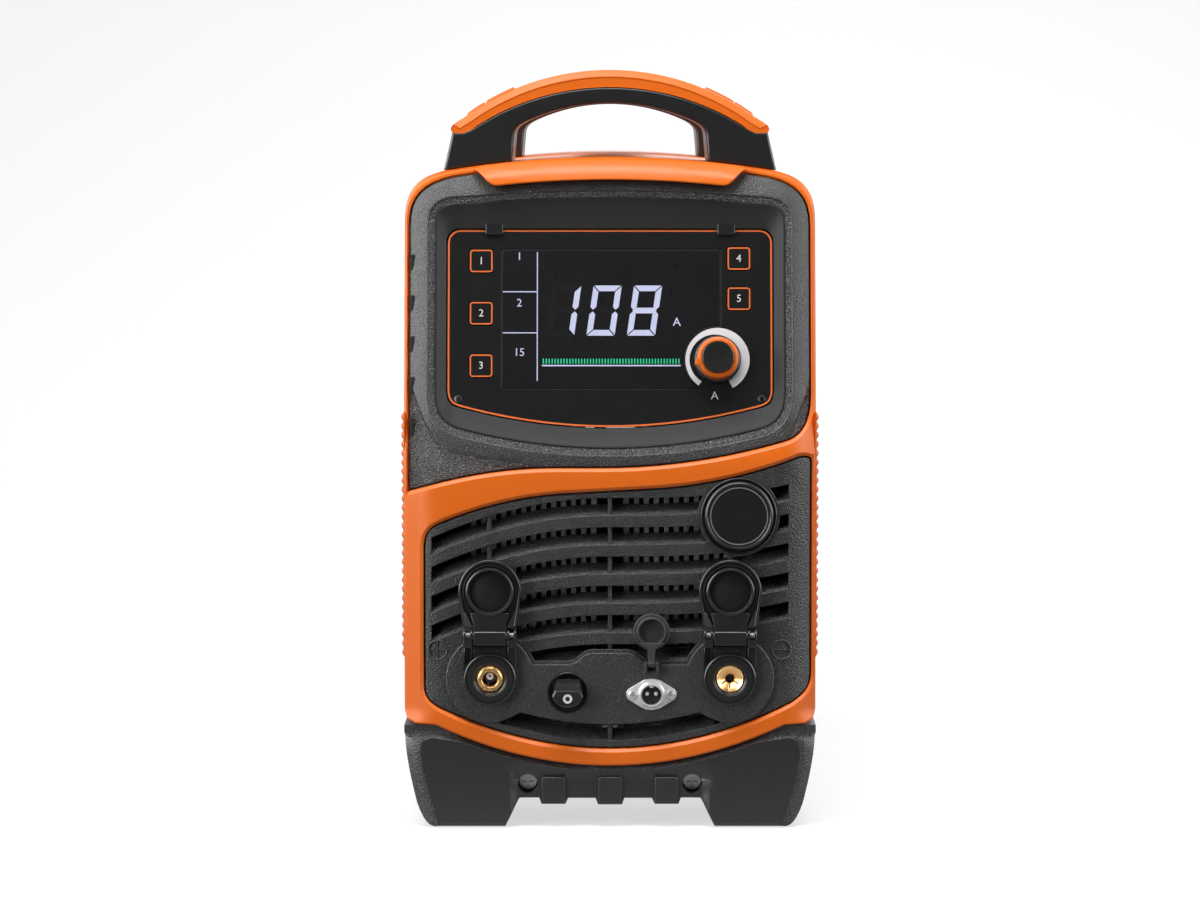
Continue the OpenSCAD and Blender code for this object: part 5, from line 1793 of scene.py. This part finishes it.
def build_rear_frame():
    """Rear shell with its window for the grille plate."""
    window = turned(both([(0, 72), (92, 72)] + bezier((92, 72), (99, 72), (104, 77), (104, 84), 5)
                         + bezier((104, 352), (104, 359), (100, 364), (94, 365.5), 5)
                         + [(x, top_z(x) - 14) for x in along(80, 0, 6)]))
    flank = distance_to(shoulder_line(), closed=False)

    def face(x, z):
        inside = max(0.0, REAR_FLANK - flank(abs(x), z))
        return REAR_RADIUS - math.sqrt(REAR_RADIUS ** 2 - inside * inside)

    shape = Shape(at(0, REAR_Y, 0) @ Matrix.Diagonal((-1, -1, 1, 1)))
    wall = 3.0
    outer = spaced(turned(shell_outline()), 5.0)

    def reach(z):
        return REAR_Y - REAR_FRONT if z < SHOULDER_Z else REAR_Y - COVER_BACK - 0.3

    rings = [[(x, face(x, z) + e, z) for x, z in inset(outer, d)]
             for d, e in ((1.5, 0), (0.75, 0.2), (0.2, 0.75), (0, 1.5))]
    rings.append([(x, reach(z), z) for x, z in outer])
    rings.append([(x, reach(z), z) for x, z in inset(outer, wall)])
    rings.append([(x, 6 + face(x, z), z) for x, z in inset(outer, wall)])
    shape.strip(rings)
    hole = spaced(window, 5.0)[::-1]
    shape.strip([[(x, face(x, z) + e, z) for x, z in inset(hole, d)]
                 for d, e in ((1.2, 0), (0.6, 0.16), (0.16, 0.6), (0, 1.2))]
                + [[(x, 6 + face(x, z), z) for x, z in hole]])
    shape.surface([inset(outer, 1.5), inset(hole, 1.2)], face, 6.0)
    shape.surface([inset(outer, wall), hole], lambda x, z: 6 + face(x, z), None)
    shape.make("rear_frame_shell", "orange_shell", replaces=["rear_frame"])


NODE_FINISHES = {
    "lcd_module": "green_board", "control_board": "green_board", "encoder": "plated_zinc",
    "base_screws": "plated_zinc", "rear_panel": "powder_coat", "fan_housing": "nylon_black",
    "cover_left": "powder_coat", "cover_right": "powder_coat", "cover_screws": "plated_zinc",
    "handle_bolts": "plated_zinc", "chassis_tray": "plated_zinc", "power_board": "green_board",
    "transformer": "copper_winding", "inductor": "copper_winding", "cable_gland": "nylon_black",
    "air_inlet": "turned_brass", "earth_bolt": "plated_zinc", "foot_pads": "matt_rubber",
    "fan_rotor": "nylon_black",
}
SOFTENED = {"cover_screws": 0.4, "cable_gland": 0.5, "air_inlet": 0.3, "earth_bolt": 0.4, "foot_pads": 0.8,
            "fan_housing": 0.5, "fan_rotor": 0.4, "rear_panel": 0.25, "cover_left": 0.3, "cover_right": 0.3,
            "base_screws": 0.3, "handle_bolts": 0.4}


def dress_nodes():
    """Gives the frame's own solids their finish and breaks their edges."""
    for node, finish in NODE_FINISHES.items():
        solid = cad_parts[node]
        solid.data.materials.clear()
        solid.data.materials.append(bpy.data.materials[finish])
        if node in SOFTENED:
            weld = solid.modifiers.new("Joined", "WELD")
            weld.merge_threshold = 0.00001
            bevel = solid.modifiers.new("Broken edges", "BEVEL")
            bevel.width = SOFTENED[node] * MM
            bevel.segments = 2
            bevel.limit_method = "ANGLE"
            bevel.angle_limit = math.radians(35)
            bevel.harden_normals = True


FIN_COUNT = 13
FIN_PITCH = 5.75
FIN_THICK = 3.0
FIN_FRONT, FIN_BACK = -226, -120
FIN_LOW, FIN_HIGH = 104, 194
FIN_ROOT = 190


def build_heatsinks():
    """Fins that show through the slots."""
    shape = Shape()
    for x0 in (-80, 8):
        shape.box(x0, x0 + 72, FIN_FRONT + 1, FIN_BACK, FIN_ROOT, FIN_HIGH, 0.4)
        for i in range(FIN_COUNT):
            x = x0 + FIN_PITCH * i
            shape.box(x, x + FIN_THICK, FIN_FRONT, FIN_BACK, FIN_LOW, FIN_ROOT + 0.2, 0.3, 1)
    # The fins take the darkened aluminium, painted shade inside the case.
    shape.make("heatsink_fins", "extruded_aluminium", replaces=["heatsinks"])


# ---------- stage ----------

PICTURE_W = 1200
PIXEL = 0.568
SIDE_SHIFT = 10
EYE_Y = FRONT_Y - 2500.0
EYE_Z = 409.0
AIM_Z = 217.7
SENSOR = 36.0
WORLD_FILL = 0.5
FRONT_DIM = 0.02
LEFT_GLOW = 5.5
RIGHT_GLOW = 3.5
FLOOR_GLOW = 0.62
FLOOR_LIT_TONE = 0.12
FLOOR_SEEN_TONE = 0.5
LAMPS = (
    ("top_softbox", (-0.2, -1.0, 2.1), (0, -0.1, 0.3), (1.6, 0.8), 40),
    ("left_softbox", (-1.75, -1.95, 0.8), (0, -0.1, 0.25), (0.9, 1.9), 27),
    ("right_softbox", (2.0, -1.4, 0.9), (0, -0.1, 0.25), (0.6, 1.6), 13),
    ("rear_softbox", (0.5, 2.2, 1.6), (0, 0.2, 0.25), (1.6, 1.0), 22),
)


def build_camera():
    """Long lens in front of the case, a little above it."""
    camera = bpy.data.cameras.new("view")
    distance = FRONT_Y - EYE_Y
    camera.lens = SENSOR * distance / (PIXEL * PICTURE_W)
    camera.sensor_width = SENSOR
    camera.shift_x = -SIDE_SHIFT / PICTURE_W
    camera.clip_end = 100
    holder = bpy.data.objects.new("view", camera)
    bpy.context.scene.collection.objects.link(holder)
    holder.location = Vector((0, EYE_Y, EYE_Z)) * MM
    holder.rotation_euler = (math.pi / 2 - math.atan2(EYE_Z - AIM_Z, distance), 0, 0)
    bpy.context.scene.camera = holder


def build_lamp(name, place, aim, size, energy):
    """Rectangular lamp, its place and aim in metres."""
    lamp = bpy.data.lights.new(name, "AREA")
    lamp.shape = "RECTANGLE"
    lamp.size, lamp.size_y = size
    lamp.energy = energy
    holder = bpy.data.objects.new(name, lamp)
    bpy.context.scene.collection.objects.link(holder)
    holder.location = place
    holder.rotation_euler = (Vector(aim) - Vector(place)).to_track_quat("-Z", "Y").to_euler()


def seen_rays(tree):
    """1 for rays from the camera, from gloss and through glass."""
    rays = put(tree, "LightPath")
    first = put(tree, "Math", operation="MAXIMUM")
    second = put(tree, "Math", operation="MAXIMUM")
    join(tree, rays, "Is Camera Ray", first, 0)
    join(tree, rays, "Is Glossy Ray", first, 1)
    join(tree, first, "Value", second, 0)
    join(tree, rays, "Is Transmission Ray", second, 1)
    return second


def build_world():
    """White round the picture; what faces the front mirrors a dim room with a glow at each side."""
    world = bpy.data.worlds.new("studio")
    bpy.context.scene.world = world
    world.use_nodes = True
    tree = world.node_tree
    background = tree.nodes["Background"]
    background.inputs["Color"].default_value = (1, 1, 1, 1)
    rays = put(tree, "LightPath")
    place = put(tree, "TexCoord")
    split = put(tree, "SeparateXYZ")
    front = put(tree, "MapRange", {"From Min": -0.85, "From Max": 0.0, "To Min": FRONT_DIM, "To Max": 1.0},
                interpolation_type="SMOOTHSTEP")
    left = put(tree, "MapRange", {"From Min": -0.8, "From Max": -0.25, "To Min": LEFT_GLOW, "To Max": 0.0},
               interpolation_type="SMOOTHSTEP")
    right = put(tree, "MapRange", {"From Min": 0.35, "From Max": 0.85, "To Min": 0.0, "To Max": RIGHT_GLOW},
                interpolation_type="SMOOTHSTEP")
    sides = put(tree, "Math", operation="MAXIMUM")
    mirrored_sides = put(tree, "Math", operation="MULTIPLY")
    brighter = put(tree, "Math", operation="MAXIMUM")
    seen = seen_rays(tree)
    plain = put(tree, "MapRange", {"To Min": WORLD_FILL, "To Max": 1.0})
    shaped = put(tree, "Math", operation="MULTIPLY")
    strength = put(tree, "Math", operation="MAXIMUM")
    join(tree, place, "Generated", split, "Vector")
    join(tree, split, "Y", front, "Value")
    join(tree, split, "X", left, "Value")
    join(tree, front, "Result", brighter, 0)
    join(tree, split, "X", right, "Value")
    join(tree, left, "Result", sides, 0)
    join(tree, right, "Result", sides, 1)
    join(tree, sides, "Value", mirrored_sides, 0)
    join(tree, rays, "Is Glossy Ray", mirrored_sides, 1)
    join(tree, mirrored_sides, "Value", brighter, 1)
    join(tree, seen, "Value", plain, "Value")
    join(tree, brighter, "Value", shaped, 0)
    join(tree, plain, "Result", shaped, 1)
    join(tree, shaped, "Value", strength, 0)
    join(tree, rays, "Is Camera Ray", strength, 1)
    join(tree, strength, "Value", background, "Strength")


def build_floor():
    """Pale floor that sweeps up behind, and that only the camera and mirrors beside the case see bright."""
    half, back, rise, bend = 3.0, 2.6, 2.4, 0.8
    bm = bmesh.new()
    profile = [(-4.0, 0.0), (back - bend, 0.0)]
    profile += [(back - bend + bend * math.sin(a), bend - bend * math.cos(a))
                for a in along(0, math.pi / 2, 10)]
    profile.append((back, rise))
    rows = [[bm.verts.new((x, y, z)) for x in (-half, half)] for y, z in profile]
    for a, b in zip(rows, rows[1:]):
        bm.faces.new((a[0], a[1], b[1], b[0]))
    mesh = bpy.data.meshes.new("floor")
    bm.to_mesh(mesh)
    bm.free()
    mesh.shade_smooth()
    floor = bpy.data.objects.new("floor", mesh)
    bpy.context.scene.collection.objects.link(floor)
    material, tree, shader = blank_material("pale_floor")
    shader.inputs["Roughness"].default_value = 0.9
    shader.inputs["Specular IOR Level"].default_value = 0.0
    shader.inputs["Emission Color"].default_value = (1, 1, 1, 1)
    rays = put(tree, "LightPath")
    place = put(tree, "NewGeometry")
    split = put(tree, "SeparateXYZ")
    beside = put(tree, "MapRange", {"From Min": -0.6, "From Max": -0.26})
    mirrored_near = put(tree, "Math", operation="MULTIPLY")
    seen = put(tree, "Math", operation="MAXIMUM")
    glow = put(tree, "Math", {1: FLOOR_GLOW}, operation="MULTIPLY")
    paint = put(tree, "Mix", data_type="RGBA")
    for entry, tone in (("A", FLOOR_LIT_TONE), ("B", FLOOR_SEEN_TONE)):
        paint.inputs[entry].default_value = (tone, tone, tone, 1)
    join(tree, place, "Position", split, "Vector")
    join(tree, split, "Y", beside, "Value")
    join(tree, beside, "Result", mirrored_near, 0)
    join(tree, rays, "Is Glossy Ray", mirrored_near, 1)
    join(tree, mirrored_near, "Value", seen, 0)
    join(tree, rays, "Is Camera Ray", seen, 1)
    join(tree, seen, "Value", glow, 0)
    join(tree, glow, "Value", shader, "Emission Strength")
    join(tree, rays, "Is Camera Ray", paint, "Factor")
    join(tree, paint, "Result", shader, "Base Color")
    mesh.materials.append(material)


def build_stage():
    """Camera, backdrop and lamps."""
    bpy.context.scene.view_settings.view_transform = "Standard"
    build_camera()
    build_world()
    build_floor()
    for lamp in LAMPS:
        build_lamp(*lamp)


# ---------- operators ----------

def sizes_of(context):
    return context.scene.cutter_sizes


class CUTTER_OT_stage(bpy.types.Operator):
    """Camera, floor, backdrop and soft studio light"""

    bl_idname = "cutter.stage"
    bl_label = "Stage"

    def execute(self, context):
        build_stage()
        return {"FINISHED"}


class CUTTER_OT_finishes(bpy.types.Operator):
    """Node groups and materials"""

    bl_idname = "cutter.finishes"
    bl_label = "Finishes"

    def execute(self, context):
        build_finishes(context.scene.cutter_colours)
        return {"FINISHED"}


class CUTTER_OT_front_shell(bpy.types.Operator):
    """Orange front shell with its band, flank ribs and visor"""

    bl_idname = "cutter.front_shell"
    bl_label = "Front Shell"

    def execute(self, context):
        build_front_frame(sizes_of(context))
        build_hood_lip()
        build_panel_shade_sheets(sizes_of(context))
        return {"FINISHED"}


class CUTTER_OT_control_panel(bpy.types.Operator):
    """Upper panel, fascia, display, keys and knob"""

    bl_idname = "cutter.control_panel"
    bl_label = "Control Panel"

    def execute(self, context):
        sizes = sizes_of(context)
        build_upper_panel(sizes)
        build_fascia(sizes)
        build_display()
        build_keys(sizes)
        build_knob()
        return {"FINISHED"}


class CUTTER_OT_louvres(bpy.types.Operator):
    """Louvred panel, hub plate, badge housing and the fins behind"""

    bl_idname = "cutter.louvres"
    bl_label = "Louvred Panel"

    def execute(self, context):
        sizes = sizes_of(context)
        build_lower_panel(sizes)
        build_hub()
        build_badge()
        build_heatsinks()
        return {"FINISHED"}


class CUTTER_OT_sockets(bpy.types.Operator):
    """Torch and work sockets, control connector and mains switch"""

    bl_idname = "cutter.sockets"
    bl_label = "Sockets And Switch"

    def execute(self, context):
        for x, side in ((-SOCKET_X, "torch"), (SOCKET_X, "work")):
            build_collar(x, side + "_collar")
            build_cap(x, side + "_cap")
            build_hinge_pin(x, side + "_hinge_pin")
        build_torch_socket(-SOCKET_X)
        build_work_socket(SOCKET_X)
        build_connector()
        build_switch()
        return {"FINISHED"}


class CUTTER_OT_bases(bpy.types.Operator):
    """Front and rear foot mouldings"""

    bl_idname = "cutter.bases"
    bl_label = "Bases"

    def execute(self, context):
        build_bases(sizes_of(context))
        return {"FINISHED"}


class CUTTER_OT_handle(bpy.types.Operator):
    """Carrying handle"""

    bl_idname = "cutter.handle"
    bl_label = "Handle"

    def execute(self, context):
        build_handle(sizes_of(context))
        return {"FINISHED"}


class CUTTER_OT_covers(bpy.types.Operator):
    """Top cover, rear shell and the finish of the frame's own solids"""

    bl_idname = "cutter.covers"
    bl_label = "Covers And Rear"

    def execute(self, context):
        build_top_cover()
        build_rear_frame()
        dress_nodes()
        return {"FINISHED"}


class CUTTER_PT_sidebar(bpy.types.Panel):
    """Sizes, colours and the pieces in the order they are built"""

    bl_idname = "CUTTER_PT_sidebar"
    bl_label = "Plasma Cutter Unit"
    bl_space_type = "VIEW_3D"
    bl_region_type = "UI"
    bl_category = "Cutter"

    def draw(self, context):
        for group in (context.scene.cutter_sizes, context.scene.cutter_colours):
            column = self.layout.column()
            for prop in group.bl_rna.properties:
                if not prop.is_readonly and prop.identifier != "name":
                    column.prop(group, prop.identifier)
        for operator in OPERATORS:
            self.layout.operator(operator.bl_idname)


OPERATORS = (CUTTER_OT_finishes, CUTTER_OT_stage, CUTTER_OT_front_shell, CUTTER_OT_control_panel,
             CUTTER_OT_louvres, CUTTER_OT_sockets, CUTTER_OT_bases, CUTTER_OT_handle, CUTTER_OT_covers)
CLASSES = (CutterSizes, CutterColours, *OPERATORS, CUTTER_PT_sidebar)


def register():
    for item in CLASSES:
        bpy.utils.register_class(item)
    bpy.types.Scene.cutter_sizes = PointerProperty(type=CutterSizes)
    bpy.types.Scene.cutter_colours = PointerProperty(type=CutterColours)


def unregister():
    del bpy.types.Scene.cutter_colours
    del bpy.types.Scene.cutter_sizes
    for item in reversed(CLASSES):
        bpy.utils.unregister_class(item)


def main():
    register()
    for operator in OPERATORS:
        group, name = operator.bl_idname.split(".")
        getattr(getattr(bpy.ops, group), name)()


if __name__ == "__main__":
    main()
